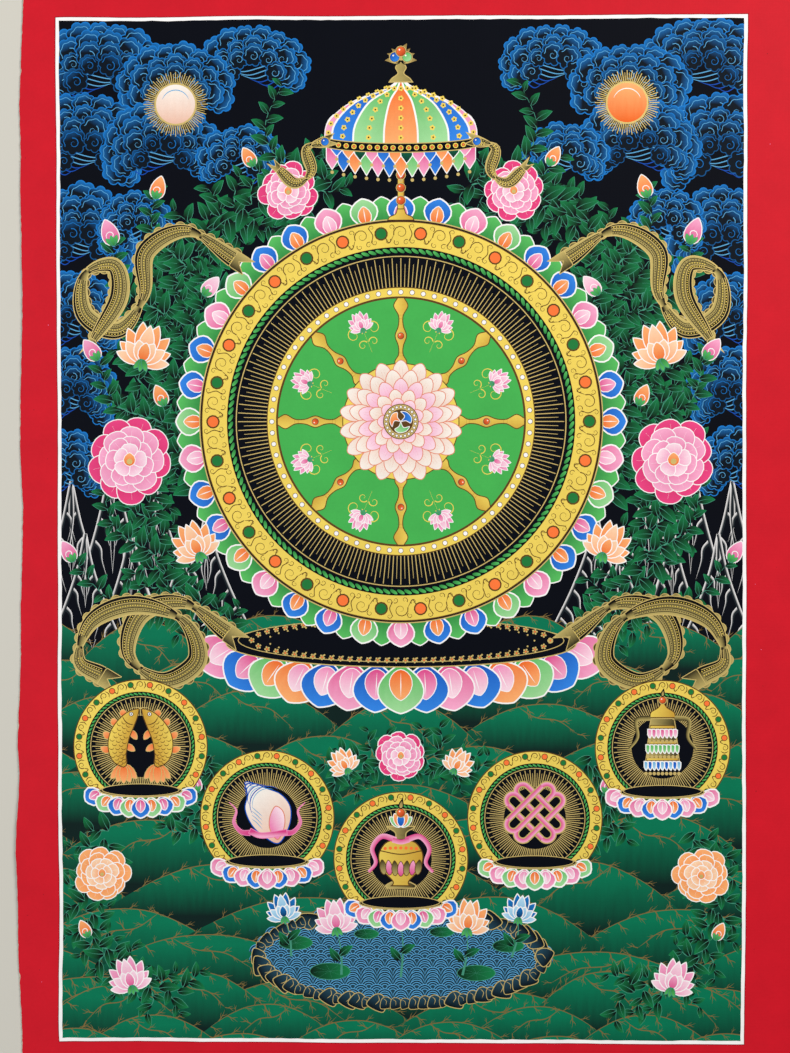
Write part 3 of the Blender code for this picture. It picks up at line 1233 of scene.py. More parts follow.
def lotus_seat(half_width, length, paints, count, cushion):
    """A row of broad petals seen from the side, the middle one in front, under a cushion."""
    shapes = []
    for number, share in enumerate(np.linspace(1.0, 0.0, count)):
        outer, heart = paints[number % len(paints)]
        one = hearted_petal(outer, heart, length * (1 - 0.12 * share), length * 0.92)
        at = 0.90 * half_width * share - 1j * cushion * half_width * (1 - share * share) ** 0.5 * 0.8
        pair = placed(one, at, 180 + 58 * share ** 1.5)
        shapes += both_sides(pair) if share else pair
    angle = np.linspace(0, math.tau, 60, False)
    top = half_width * (0.97 * np.cos(angle) + 1j * cushion * np.sin(angle))
    shapes += rimmed("black", "gold", top, 1.0)
    shapes += rimmed("black", "gold", 0.93 * top + 0.02j * half_width, 0.7)
    if half_width > 100:
        floret = [dot("gold", 1.7 * turned(72 * k), 0.9) for k in range(5)] + [dot("minium", 0, 0.8)]
        for share, touch in ((0.85, floret), (0.76, [dot("gold", 0, 0.8)])):
            ring = share * np.append(top, top[0]) + 0.02j * half_width
            shapes += along([ring], touch, 8.0, one_side=True)
    return shapes


lay(placed(lotus_seat(158, 45, SEAT_PAINTS, 8, 0.13), -98j))
lay(wheel(WHEEL, WHEEL_RADIUS))
print(len(picture), "shapes with the wheel")

# %% Scarves
SCARVES = (
    # path, width, turns
    (smooth(146 + 238j, 186 + 262j, 222 + 244j, 224 + 206j, 246 + 176j, 276 + 190j, 276 + 224j, 250 + 232j,
            246 + 204j, 268 + 168j, steps=9), 17.0, 3.3),
    (smooth(152 - 88j, 190 - 62j, 228 - 72j, 238 - 108j, 208 - 130j, 178 - 112j, 190 - 78j, 232 - 64j,
            270 - 78j, 282 - 112j, 262 - 126j, steps=9), 18.0, 3.7),
)
for path, width, turns in SCARVES:
    lay(both_sides(scarf(path, width, turns)))
print(len(picture), "shapes with the silk")

# %% [markdown]
# ## Flowers on the vines

# %% Flowers
PINKS = ("magenta", "pink", "pink", "blush")
ORANGES = ("orange", "orange", "apricot", "apricot")
FLOWERS = (
    # x, y, turn, the right one, the left one
    (237, 62, 0, peony(PINKS, 37, 1), peony(PINKS, 37, 2)),
    (226, 148, 14, *2 * [lotus("orange", "apricot", 34)]),
    (176, -20, -24, *2 * [lotus("orange", "apricot", 30)]),
    (98, 296, 0, peony(PINKS, 26, 3), peony(PINKS, 26, 5)),
)
for x, y, turn, right, left in FLOWERS:
    lay(placed(right, x + 1j * y, turn), placed(left, -x + 1j * y, -turn))

LOW_THICKETS = (
    smooth(256 - 262j, 276 - 300j, 272 - 350j, 240 - 392j, 196 - 404j),
    smooth(166 - 196j, 176 - 230j, 186 - 262j),
    smooth(4 - 200j, 34 - 196j, 58 - 212j),
)
for side, seed in ((1, 31), (-1, 37)):
    lay(thicket(on_side(LOW_THICKETS, side), 28, 8.5, 17.0, seed))
lay(both_sides(placed(peony(ORANGES, 25, 8), 262 - 300j)))
lay(both_sides(placed(lotus("pink", "blush", 27), 236 - 400j, -16)))
lay(placed(peony(PINKS, 23, 9), -196j))
lay(both_sides(placed(lotus("orange", "apricot", 20), 47 - 208j, -30)))

BUDS = (
    # x, y, turn, size, paint
    (178, -228, -12, 17, "pink"), (274, -356, -26, 17, "orange"),
    (250, 250, -20, 24, "pink"), (214, 290, 16, 21, "orange"), (172, 206, 40, 21, "blush"),
    (264, 150, -36, 22, "pink"), (206, 110, -24, 20, "orange"), (128, 318, -30, 19, "orange"),
    (286, -26, -30, 21, "pink"), (60, 344, 6, 19, "pink"),
)
for x, y, turn, size, paint in BUDS:
    lay(both_sides(placed(bud(paint, size), x + 1j * y, turn)))
print(len(picture), "shapes with the flowers")

# %% [markdown]
# ## Five medallions
# Each is a small halo, a lotus seat and one of the lucky signs. The signs are drawn about 60 mm high
# round 0, in gold on black with a few bright touches.

# %% Fish
def fish():
    """One of the pair, upright, its head up and leaning to the left, its back to the right."""
    spine = smooth(3 + 0j, 9 + 11j, 8 + 26j, 0 + 40j, -9 + 50j, steps=5)
    share = np.linspace(0, 1, len(spine))
    girth = 0.18 + 0.82 * np.sin(math.pi * share ** 0.9) ** 0.8
    girth[-3:] *= (0.95, 0.8, 0.45)
    heading = np.gradient(spine)
    heading /= abs(heading)
    tilt = [math.degrees(cmath.phase(step)) for step in heading]
    back = -9.0j * girth * heading
    shapes = []
    for angle in (138, 222, 160, 200, 180):
        shapes += placed(petal("orange", 17, 8, 0.6, line="gold"), spine[1], angle)
    for k, lean in ((6, -64), (9, -58), (12, -50), (15, -42)):
        fin = petal("orange", 11 - 0.3 * k, 6.5, 0.5, line="gold")
        shapes += placed(fin, spine[k] + 0.8 * back[k], lean + tilt[k] - 90)
    for k, lean in ((8, 118), (13, 112)):
        fin = petal("orange", 10, 6, 0.5, line="gold")
        shapes += placed(fin, spine[k] - 0.75 * back[k], lean + tilt[k] - 90)
    body = stroke(spine, 18.0, lambda count: girth)
    shapes += rimmed("yellow_gold", "brown", body, 0.8, back[10] + spine[10], spine[10] - back[10])
    scale = [shape("brown", stroke(arc(0, 2.1, 190, 350, 1.2), 0.6))]
    for k in range(2, 15):
        for out in (-0.6, 0.0, 0.6) if k % 2 else (-0.32, 0.32):
            shapes += placed(scale, spine[k] + out * back[k], tilt[k] - 90)
    bow = np.cos(np.linspace(-1.5, 1.5, 7))
    gill = spine[15] + np.linspace(0.95, -0.95, 7) * back[15] - 2.6 * heading[15] * bow
    shapes.append(shape("brown", stroke(gill, 0.9)))
    mouth = spine[-1]
    for reach in (0.2, -0.5):
        whisker = smooth(mouth, mouth + (-5 + 1j) + 4 * reach, mouth + (-9 - 3j) + 8 * reach)
        shapes.append(shape("gold", stroke(whisker, 0.7, thinning)))
    eye = spine[17] + 0.3 * back[17]
    return shapes + [dot("brown", eye, 2.0), dot("white", eye, 1.4), dot("black", eye, 0.7)]


def fish_pair():
    """Two fish, back to back."""
    return both_sides(placed(fish(), 10 - 22j, 0, 0.98))


# %% Shell
WHORLS = (
    # centre, radius, first angle
    (1 + 6j, 15.5, 60), (-5 + 11j, 11.5, 55), (-10 + 15.5j, 8.0, 50), (-14 + 19j, 5.0, 45),
)


def both_ways(*corners):
    """A smooth path's mirror image on the left, and the path itself."""
    path = smooth(*corners)
    return -np.conj(path), path


def shell():
    """A white conch, its spire up to the left, with a blush in its mouth and a ribbon round it."""
    body = closed(10 - 27j, 19 - 12j, 20 + 4j, 12 + 15j, 0 + 20j, -10 + 24j, -19 + 25j, -17 + 14j,
                  -19 + 2j, -13 - 12j, -2 - 22j)
    shapes = rimmed("ivory", "azure", body, 0.9, 14 - 20j, -10 + 14j)
    mouth = closed(9 - 24j, 15 - 12j, 14 + 0j, 7 + 5j, 2 - 4j, 2 - 15j)
    shapes += rimmed("blush", "salmon", mouth, 0.8, 3 - 12j, 15 - 6j)
    for at, reach, start in WHORLS:
        shapes.append(shape("azure", stroke(arc(at, reach, start, start + 150, 1.6), 0.9)))
        shapes.append(shape("sky", stroke(arc(at, reach - 2.0, start + 12, start + 132, 1.6), 0.6)))
    shapes.append(shape("azure", stroke(spiral(-16.5 + 21.5j, 3.0, 0, 1.2, 12), 0.7, thinning)))
    for k in range(4):
        ridge = smooth(-4 - 4j - 3.6j * k, -9 + 0.5j - 3.2j * k, -13 + 4j - 3.4j * k)
        shapes.append(shape("sky", stroke(ridge, 0.6)))
    for tail in both_ways(14 - 18j, 22 - 17j, 28 - 9j, 26 + 1j, 32 + 8j):
        shapes += rimmed("pink", "blush", stroke(tail, 5.2, thinning), 0.6, tail[0], tail[-1])
    belt = stroke(smooth(-15 - 16j, -6 - 20j, 6 - 19j, 17 - 17j), 5.2, None)
    return shapes + rimmed("pink", "blush", belt, 0.6, -17j, -21j)


# %% Vase
def vase():
    """The vase of plenty: a round gilded body, a scarf at its neck, and a stone at its mouth."""
    foot = mirrored(smooth(12 - 30j, 13 - 27j, 8 - 24j))
    neck = mirrored(smooth(5 + 11j, 5 + 17j, 11 + 21j, 12 + 23j))
    body = mirrored(smooth(9 - 28j, 7 - 24j, 16 - 14j, 19 - 2j, 14 + 8j, 6 + 12j))
    shapes = rimmed("silk", "gold", foot, 0.9, -13, 13)
    shapes += rimmed("silk", "gold", neck, 0.9, -12, 12)
    shapes += rimmed("yellow_gold", "brown", body, 0.9, -19, 19)
    for k in range(-3, 4):
        lobe = petal("silk" if k % 2 else "pink", 13.5, 6.2, 0.6, line="brown")
        shapes += placed(lobe, 4.6 * k - 20j + 0.5j * abs(k), -3 * k)
    shapes.append(shape("brown", stroke(smooth(-17.5 + 2j, 0 - 1j, 17.5 + 2j), 0.9, None)))
    shapes += [dot("minium", 4.4 * k + 4.4j - 0.06j * k * k, 1.4) for k in range(-3, 4)]
    for tail in both_ways(4 + 11j, 16 + 14j, 24 + 4j, 21 - 8j, 27 - 16j):
        shapes += band("pink", tail, 5.0 * thinning(len(tail), 0.5))
    shapes += band("pink", smooth(-7 + 11j, 0 + 9.4j, 7 + 11j), 4.0)
    for angle, paint in ((48, "malachite"), (-48, "malachite"), (26, "orange"), (-26, "orange"),
                         (0, "azure")):
        shapes += placed(petal(paint, 13, 7, 0.7), 22j, -angle)
    return shapes + stone("minium", 34j, 3.2) + placed(flame(10), 37j)


# %% Knot
CORD, CORD_RIM = 4.4, 0.9
LANE = 9.5  # from one run of the cord to the next


def cord_edges(path):
    """The cord's whole width in gold."""
    return [shape("gold", stroke(path, CORD, None))]


def cord_face(path):
    """The pink between its edges."""
    return band("pink", path, CORD - 2 * CORD_RIM)


def cord_run(start, end):
    """A straight stretch of the cord, over what lies there already."""
    path = spread(np.array([start, end]), 3.0, closed=False)
    return cord_edges(path) + cord_face(path)


def knot():
    """The endless knot: one gilded cord, over and under itself, with neither start nor end."""
    out = 1.75 * LANE
    loops = [
        side * turn * arc(complex(out, side * (first + 0.5) * LANE), 0.5 * LANE, -90, 90, 1.0)
        for side in (1, -1) for turn in (1, 1j) for first in (-1, 0)
    ]
    shapes = [one for loop in loops for one in cord_edges(loop)]
    shapes += [one for loop in loops for one in cord_face(loop)]
    for lane in (-LANE, 0, LANE):
        shapes += cord_run(complex(-out, lane), complex(out, lane))
        shapes += cord_run(complex(lane, -out), complex(lane, out))
    over = 0.5 * CORD + 1.0
    for x, y in ((-1, -1), (-1, 1), (0, 0), (1, -1), (1, 1)):
        at = complex(x * LANE, y * LANE)
        shapes += cord_run(at - over, at + over)
    return placed(shapes, 0, 45, 1.2)


# %% Banner
TIERS = (
    # two paints in turn, y, half the width, count of tongues
    ("azure", "sky", -22, 15.5, 9), ("malachite", "malachite", -8, 14.0, 8), ("pink", "blush", 5, 12.5, 7),
)


def trapezoid(low, low_half, high, high_half):
    """An outline between two heights. Half its width is given with each."""
    right = np.array([low_half + 1j * low, high_half + 1j * high])
    return spread(np.array([-np.conj(right[0]), *right, -np.conj(right[1])]), 3.0)


def banner():
    """The banner of victory: a gilded dome over three flounces of silk."""
    shapes = []
    for paint, second, y, half, count in TIERS:
        shapes += rimmed("silk", "gold", trapezoid(y, half, y + 15, half - 2.5), 0.8, -half, half)
        for k in range(count):
            x = (k - (count - 1) / 2) * 2 * half / count
            tongue = silk_tongue(paint if k % 2 else second, 9.0, 2 * half / count + 0.6)
            shapes += placed(tongue, x + 1j * (y + 6))
        hem = trapezoid(y + 6, half - 1.5, y + 9, half - 2)
        shapes += rimmed("yellow_gold", "brown", hem, 0.6, -half, half)
    dome = mirrored(smooth(11 + 20j, 10 + 25j, 4 + 29j, 1.4 + 33j))
    shapes += rimmed("yellow_gold", "brown", dome, 0.8, -11, 11)
    for tail in both_ways(10 + 20j, 22 + 18j, 21 + 4j, 28 - 6j):
        shapes += band("silk", tail, 4.2 * thinning(len(tail), 0.5))
    return shapes + stone("minium", 35j, 2.6) + placed(flame(8), 37.5j)


# %% Medallions
MEDALLIONS = (
    # middle, sign, paints of the seat's petals in turn
    (-228 - 188j, fish_pair(), (("azure", "pink"), ("malachite", "orange"))),
    (-117 - 250j, shell(), (("pink", "blush"), ("azure", "orange"))),
    (0 - 286j, vase(), (("azure", "orange"), ("pink", "blush"), ("malachite", "pink"))),
    (117 - 250j, knot(), (("malachite", "orange"), ("pink", "blush"))),
    (228 - 188j, banner(), (("pink", "blush"), ("azure", "orange"))),
)


def medallion(sign, paints):
    """The halo, the sign in it, and the lotus seat under both."""
    radius = 59.0
    shapes = scroll_ring(0, radius - 10.5, radius, 20)
    shapes += rope_ring(0, radius - 13, 2.7, 76)
    shapes += round_ring("black", "gold", 0, 10, radius - 15, 0.7)[:2]
    shapes += rays(0, 27, radius - 16.5, 60)
    shapes += placed(sign, 5j, 0, 1.04)
    return shapes + placed(lotus_seat(38, 20, paints, 5, 0.16), -0.66j * radius)


for at, sign, paints in MEDALLIONS:
    lay(placed(medallion(sign, paints), at))
print(len(picture), "shapes with the medallions")

# %% [markdown]
# ## The parasol
# Its canopy is seven gores of silk with gold florets, sewn between ribs that meet at the point. It
# stands on the wheel's rim by a pole, and two scarves flutter from its hem.

# %% Parasol
VALANCE = (
    # y, count, half the width, length of a tongue, paints in turn
    (-3, 13, 66, 25, ("pink", "azure", "orange", "malachite")),
    (4, 12, 62, 20, ("azure", "orange", "hill", "pink")),
)
GORES = ("pink", "azure", "malachite", "orange", "malachite", "azure", "pink")


def rib(share):
    """The edge between two gores, from the hem to the point, at a share from -1 to 1."""
    hem = 67 * math.sin(0.5 * math.pi * share)
    drop = -6.5 * math.cos(0.5 * math.pi * share)
    return smooth(hem + 1j * drop, 0.95 * hem + 1j * (0.5 * drop + 16), 0.66 * hem + 33j,
                  0.20 * hem + 45j, 0.05 * hem + 52j, steps=5)


def pole_and_valance():
    """The pole, on its foot, and the tongues of silk that hide its upper end."""
    rod = mirrored(np.array([3.2 - 64j, 3.2 + 4j]))
    foot = mirrored(smooth(12 - 69.4j, 10 - 66j, 5 - 63.5j, 3.4 - 59j))
    shapes = rimmed("yellow_gold", "brown", spread(rod, 6.0), 0.8, -3, 3)
    shapes += rimmed("yellow_gold", "brown", foot, 0.8, -12, 12)
    for y in (-52, -41, -30):
        shapes += stone("minium", 1j * y, 3.4)
    for y, count, half, length, paints in VALANCE:
        for k in range(count):
            share = (k - (count - 1) / 2) / (count / 2)
            size = length * (1 - 0.14 * share * share)
            tongue = silk_tongue(paints[k % 4], size, 2 * half / count + 0.8)
            shapes += placed(tongue, half * share * 0.98 + 1j * (y - 5 * (1 - share * share)))
    return shapes


def canopy():
    """The dome's gores, and the jewelled band along its hem."""
    shapes = []
    floret = [dot("yellow_gold", 1.5 * turned(72 * n), 1.0) for n in range(5)] + [dot("brown", 0, 0.8)]
    for k, paint in enumerate(GORES):
        left, right = rib(-1 + 2 * k / len(GORES)), rib(-1 + 2 * (k + 1) / len(GORES))
        gore = np.concatenate([left, right[::-1]])
        shapes += rimmed(paint, "white", gore, 0.8, 52j, 0.5 * (left[0] + right[0]))
        shapes += along([0.5 * (left + right)[:-5]], floret, 7.5, one_side=True)
    hem = np.array([rib(share)[0] for share in np.linspace(-1, 1, 25)])
    shapes += [shape("gold", stroke(hem, 8.6, None)), shape("black", stroke(hem, 7.0, None))]
    jewel = [dot("yellow_gold", 0, 2.3), dot("brown", 0, 1.4), dot("minium", 0, 1.0)]
    return shapes + along([hem], jewel, 6.6, one_side=True)


def parasol():
    """A domed silk canopy, its point at 66j and its hem at 0, over a valance of silk tongues."""
    shapes = pole_and_valance() + canopy()
    for tail in both_ways(66 - 1j, 82 - 7j, 78 - 27j, 92 - 37j, 106 - 25j):
        shapes += scarf(tail, 11.0, 2.2, lobes=False) + stone("azure", tail[0], 3.2)
    top = mirrored(smooth(11 + 50j, 8 + 54j, 3 + 58j, 5 + 63j, 2 + 68j))
    shapes += rimmed("silk", "gold", top, 0.8, -11, 29)
    for angle in (70, 44, 20):
        shapes += both_sides(placed(flame(17), 68j, -angle))
    shapes += placed(flame(20), 68j)
    for paint, at in (("azure", -5.4 + 72j), ("malachite", 5.4 + 72j), ("minium", 77j)):
        shapes += stone(paint, at, 3.9)
    return shapes


def sky_disc(paint, halo):
    """The sun or the moon: a disc in a ring of rays, with an arc of light near its top."""
    radius = 17
    shapes = rays(0, radius + 1.5, radius + 11, 40) + [dot("black", 0, radius + 2.2)]
    shapes.append(shape("gold", circle(0, radius + 1.6)))
    shapes.append(shape(paint, circle(0, radius), -radius * 1j, radius * 1j))
    return shapes + [shape(halo, stroke(arc(0, 0.72 * radius, 20, 160), 0.8))]


lay(placed(parasol(), 340j))
lay(placed(sky_disc("orange", "white"), 196 + 372j), placed(sky_disc("ivory", "sky"), -196 + 372j))
print(len(picture), "shapes with the parasol")

# %% [markdown]
# ## The white line and the red margin
# A ruled white line closes the picture, drawn by hand and so never quite straight. A thin dark red
# line of painted shade runs just outside it. The red margin covers what the painter let run over,
# and it ends a little short of the cut edge in places, where raw cotton shows.

# %% Line and margin
def ruled(start, end, sway, seed):
    """A hand-ruled line between two corners, which wanders slowly by up to sway and shakes a bit."""
    path = spread(np.array([start, end]), 7.0, closed=False)
    across = 1j * (end - start) / abs(end - start)
    slow, quick = unevenness(path, 90.0, sway, seed), unevenness(path, 14.0, 0.22, seed + 5)
    return path + across * (slow + quick)


corners = [complex(x * HALF_WIDTH, y * HALF_HEIGHT) for x, y in ((-1, -1), (1, -1), (1, 1), (-1, 1))]
outer_line = np.concatenate([
    ruled(a, b, 0.9, seed)[:-1] for seed, (a, b) in enumerate(zip(corners, corners[1:] + corners[:1]))
])
line_width = WHITE_LINE + unevenness(outer_line, 11.0, 0.55, 40)
inner_line = outer_line + across(outer_line) * line_width
shadow_line = outer_line - 0.7 * across(outer_line)

FAR = 1500.0  # well outside the cloth


def frame_round(paint, opening):
    """Everything outside a closed line, as an upper and a lower half."""
    line = np.roll(opening, -int(np.argmin(abs(opening - opening.real.max()))))
    half = int(np.argmin(abs(line - line.real.min())))
    outside = FAR * np.array([-1, -1 + 1j, 1 + 1j, 1])
    upper = np.concatenate([line[:half + 1], outside])
    lower = np.concatenate([line[half:], line[:1], -outside])
    return [shape(paint, upper), shape(paint, lower)]


# The thin dark red band between the white line and the red margin is painted shade.
lay(frame_round("white", inner_line), frame_round("shadow_red", outer_line))
lay(frame_round("cinnabar", shadow_line))

# Small flecks on the margin: dark red ones in the same paint as that band of painted shade, and pale pink
# ones.
chance = random.Random(7)
for _ in range(22):
    side = chance.choice((-1, 1))
    x, y = side * (HALF_WIDTH + chance.uniform(6, 32)), chance.uniform(-HALF_HEIGHT, HALF_HEIGHT)
    paint = chance.choice(("shadow_red", "shadow_red", "blush"))
    lay([dot(paint, complex(x, y), chance.uniform(0.2, 0.5))])

# %% Where the paint ends
paint_edge = edge_line - complex(*middle)
into = np.roll(paint_edge, -1) - np.roll(paint_edge, 1)
into = 1j * into / abs(into)
bare = 0.1 + 0.5 * unevenness(paint_edge, 40.0, 1.0, 60) + 0.5 * unevenness(paint_edge, 3.2, 1.0, 61)
chips = 4.0 * np.clip(unevenness(paint_edge, 11.0, 1.0, 62) - 0.52, 0, 0.5)
paint_edge = paint_edge + into * np.clip(bare + chips, 0.08, 2.2)
lay(frame_round("bare", paint_edge))
print(len(picture), "shapes in all,", sum(len(s.outline) for s in picture), "points")

# %% [markdown]
# ## From shapes to one flat sheet of paint
# The shapes overlap in thousands of places. Stacking them in thin layers would flicker and hide
# wrongly, so the drawing is cut up instead. A constrained Delaunay triangulation keeps every outline
# as edges and adds the points where outlines cross, so each triangle lies wholly inside a shape or
# wholly outside it. Neighbouring colours then share their points, with no gap between them.

# %% Cut the drawing into triangles
def loose_points(x_low, x_high, y_low, y_high):
    """Points all over an area, so that a mesh there can follow the cloth's lift."""
    xs, ys = np.arange(x_low, x_high, MESH_GAP), np.arange(y_low, y_high, MESH_GAP)
    return (xs[:, None] + 1j * ys[None, :]).ravel()


def triangulate(points, edges):
    """The points, the triangles, and for each point the numbers of those it was made from."""
    flat = [Vector((z.real, z.imag)) for z in points]
    found = delaunay_2d_cdt(flat, edges.tolist(), [], 0, 1e-4, True)
    places = np.array([(p.x, p.y) for p in found[0]])
    return places[:, 0] + 1j * places[:, 1], np.array(found[2], dtype=np.int64), found[3]


def closed_edges(outlines):
    """The edges of closed outlines whose points are numbered one after another."""
    ends = np.cumsum([len(outline) for outline in outlines])
    ahead = np.arange(1, ends[-1] + 1)
    ahead[ends - 1] = np.append(0, ends[:-1])
    return np.stack([np.arange(ends[-1]), ahead], axis=1)


outlines = [s.outline for s in picture]
drawn = np.concatenate(outlines)
loose = loose_points(-345, 356, -492, 493)  # a little past the cloth's edges
places, triangles, sources = triangulate(np.append(drawn, loose), closed_edges(outlines))
print(len(triangles), "triangles on", len(places), "points")

# %% [markdown]
# Which shape shows on a triangle is found from the last shape back to the first, because a later one
# covers an earlier one. A shape takes the triangles that it winds round and that are still free. The
# triangles are sorted by height, so an edge only asks those beside it.

# %% Find the shape on top
def windings(outline, x, y):
    """How often a closed outline goes round each point. The points come sorted by y."""
    turns = np.zeros(len(x), int)
    ahead = np.roll(outline, -1)
    firsts = np.searchsorted(y, np.minimum(outline.imag, ahead.imag))
    lasts = np.searchsorted(y, np.maximum(outline.imag, ahead.imag))
    for a, b, first, last in zip(outline, ahead, firsts, lasts):
        if last > first:
            step = b - a
            run = slice(first, last)
            left = step.real * (y[run] - a.imag) - step.imag * (x[run] - a.real) > 0
            if step.imag > 0:
                turns[run] += left
            else:
                turns[run] -= ~left
    return turns


centres = places[triangles].mean(axis=1)
by_height = np.argsort(centres.imag)
x, y = centres[by_height].real, centres[by_height].imag
top = np.full(len(triangles), -1)
for number in reversed(range(len(picture))):
    outline = picture[number].outline
    first, last = np.searchsorted(y, (outline.imag.min(), outline.imag.max()))
    in_reach = (x[first:last] > outline.real.min()) & (x[first:last] < outline.real.max())
    near = first + np.flatnonzero(in_reach & (top[first:last] < 0))
    if len(near):
        top[near[windings(outline, x[near], y[near]) != 0]] = number
top_shape = np.empty_like(top)
top_shape[by_height] = top
print(len(np.unique(top_shape)), "of", len(picture), "shapes show")

# %% [markdown]
# Most edges are hidden: the line of a leaf goes on under the flower that covers it. So only the
# edges between two different top shapes are kept, and the sheet is triangulated once more. A new
# triangle at such an edge knows its shape from it. The rest ask the triangle beside them.

# %% Keep only the edges that show
def edge_names(triangles, count):
    """Each triangle's three edges as numbers, forwards and backwards."""
    ahead = np.roll(triangles, -1, axis=1)
    return triangles * count + ahead, ahead * count + triangles


def beyond(triangles, count):
    """For each edge of each triangle, the triangle on its other side, or -1 at the rim."""
    forwards, backwards = (names.ravel() for names in edge_names(triangles, count))
    order = np.argsort(forwards)
    spot = np.minimum(np.searchsorted(forwards[order], backwards), len(order) - 1)
    found = order[spot]
    return np.where(forwards[found] == backwards, found // 3, -1).reshape(-1, 3)


count = len(places)
other = beyond(triangles, count)
shows = (other < 0) | (top_shape[other] != top_shape[:, None])
border_names = edge_names(triangles, count)[0][shows]
border_tops = np.repeat(top_shape, 3).reshape(-1, 3)[shows]
order = np.argsort(border_names)
border_names, border_tops = border_names[order], border_tops[order]

loose = [number for number, source in enumerate(sources) if source and max(source) >= len(drawn)]
edges = np.stack([border_names // count, border_names % count], axis=1)
kept = np.unique(np.append(edges.ravel(), loose))
edges = np.unique(np.sort(np.searchsorted(kept, edges), axis=1), axis=0)
places, triangles, sources = triangulate(places[kept], edges)

old_number = np.array([kept[source[0]] if source else count - 1 for source in sources])
names = edge_names(old_number[triangles], count)[0]
spot = np.minimum(np.searchsorted(border_names, names), len(border_names) - 1)
is_border = border_names[spot] == names
UNKNOWN = -2
top_shape = np.where(is_border, border_tops[spot], UNKNOWN).max(axis=1)
other = beyond(triangles, len(places))
for _ in range(60):
    for side in range(3):
        asks = (top_shape == UNKNOWN) & ~is_border[:, side] & (other[:, side] >= 0)
        top_shape[asks] = top_shape[other[asks, side]]
print(len(triangles), "triangles now,", int((top_shape == UNKNOWN).sum()), "of them without a shape")

# %% [markdown]
# ## The cotton cloth
# Under the paint lies one closed piece of cloth with a soft cut edge. It stands for the CAD's canvas.

# %% Cloth
def raised(points, above):
    """Points of the cloth as metres in the frame, above its underside by millimetres."""
    x, y = points.real, points.imag
    return np.stack([x, y, lift(x, y) + above], axis=1) * MM


def seen_from_above(mesh, place, share=1.0):
    """Where each corner lies in a map of the piece seen from above, over a share of the map's width."""
    low = place[:, :2].min(axis=0)
    size = place[:, :2].max(axis=0) - low
    corner = read(mesh.loops, "vertex_index", kind=np.int32)
    sideways = share * (place[corner, 0] - low[0]) / size[0]
    return sideways + 1j * ((place[corner, 1] - low[1]) / size[1])


HALF_OF_MAP = 0.49  # the top's share of the texture, with the underside beyond a small gap


def make_cloth():
    """The closed sheet: an underside, a low wall, a small round and the top."""
    inner_rim = edge_line + 0.4 * across(edge_line)
    loose = loose_points(cad_low[0] / MM + 6, cad_high[0] / MM, cad_low[1] / MM + 6, cad_high[1] / MM)
    found, inside, _ = triangulate(np.append(inner_rim, loose), closed_edges([inner_rim]))
    inside = inside[np.argsort(found[inside].mean(axis=1).imag)]
    centres = found[inside].mean(axis=1)
    inside = inside[windings(inner_rim, centres.real, centres.imag) != 0]
    kept = np.unique(inside)
    inside, found = np.searchsorted(kept, inside), found[kept]
    rim, many = len(edge_line), len(found)
    place = np.concatenate([
        raised(found, COTTON), raised(found, 0.0),
        raised(edge_line, 0.72 * COTTON), raised(edge_line, 0.22 * COTTON),
    ])
    top = [int(np.argmin(abs(found - z))) for z in inner_rim]
    rings = [  # the points round the edge, from the top down
        top,
        range(2 * many, 2 * many + rim),
        range(2 * many + rim, 2 * many + 2 * rim),
        [many + point for point in top],
    ]
    faces = inside.tolist() + (inside[:, ::-1] + many).tolist()
    for k in range(rim):
        n = (k + 1) % rim
        faces += [[lower[k], lower[n], upper[n], upper[k]] for upper, lower in zip(rings, rings[1:])]
    cloth = new_object("cotton_canvas", place.tolist(), faces=faces)
    cloth.data.shade_smooth()
    layout = seen_from_above(cloth.data, place, HALF_OF_MAP)
    face_of_corner = np.repeat(np.arange(len(faces)), [len(face) for face in faces])
    below = (face_of_corner >= len(inside)) & (face_of_corner < 2 * len(inside))
    layout[below] += 1 - HALF_OF_MAP
    set_map(cloth.data, "OFBake", layout)
    return cloth


cotton_canvas = make_cloth()
print("cloth:", len(cotton_canvas.data.polygons), "faces")

# %% [markdown]
# ## One film for each pigment
# Each paint is its own thin piece over the cloth, with the brush map for its fades. All of them
# share the height field, so they meet edge to edge.

# %% Films
painted = [s.paint for s in picture]
paint_list = sorted(set(painted) - {"bare"})
film_of = np.array([paint_list.index(p) if p in paint_list else -1 for p in painted] + [-1])
film_number = film_of[np.maximum(top_shape, -1)]
roots = np.array([s.root for s in picture])
steps = np.array([s.tip - s.root for s in picture])


def make_film(number):
    """The plain mesh of one paint: its triangles, the brush map and the texture layout."""
    chosen = film_number == number
    corners = triangles[chosen]
    used, index = np.unique(corners, return_inverse=True)
    place = raised(places[used] + complex(*middle), COTTON + PAINT_FILM)
    film = new_object("paint_" + paint_list[number], place.tolist(), faces=index.reshape(-1, 3).tolist())
    film.data.shade_smooth()
    top = top_shape[chosen][:, None]
    brush = ((places[corners] - roots[top]) / steps[top]).ravel()
    brush = np.clip(brush.real, -4, 4) + 1j * np.clip(brush.imag, -4, 4)
    set_map(film.data, "brush", brush)
    set_map(film.data, "OFBake", seen_from_above(film.data, place))
    return film


films = {paint_list[number]: make_film(number) for number in range(len(paint_list))}
for name, film in films.items():
    print(f"{name:14}", len(film.data.polygons), "triangles")
print("all films:", sum(len(film.data.polygons) for film in films.values()), "triangles")

# %% [markdown]
# ## Paint
# Thangka colours are ground minerals and plant dyes in hide glue. They dry matt and a little uneven,
# and so thin that the cotton's weave can just be seen. Gold is ground leaf in the same glue, so a
# part of what the light meets is metal. Each paint fades from one colour at a shape's root to
# another at its tip, in streaks that follow the brush.

# %% Patterns at their real size
def grain(tree, size):
    """A noise with features of about size millimetres, on the piece's own coordinates."""
    where = add(tree, "ShaderNodeTexCoord").outputs["Object"]
    return add(tree, "ShaderNodeTexNoise", {"Vector": where, "Scale": 1 / (size * MM), "Detail": 2.0})


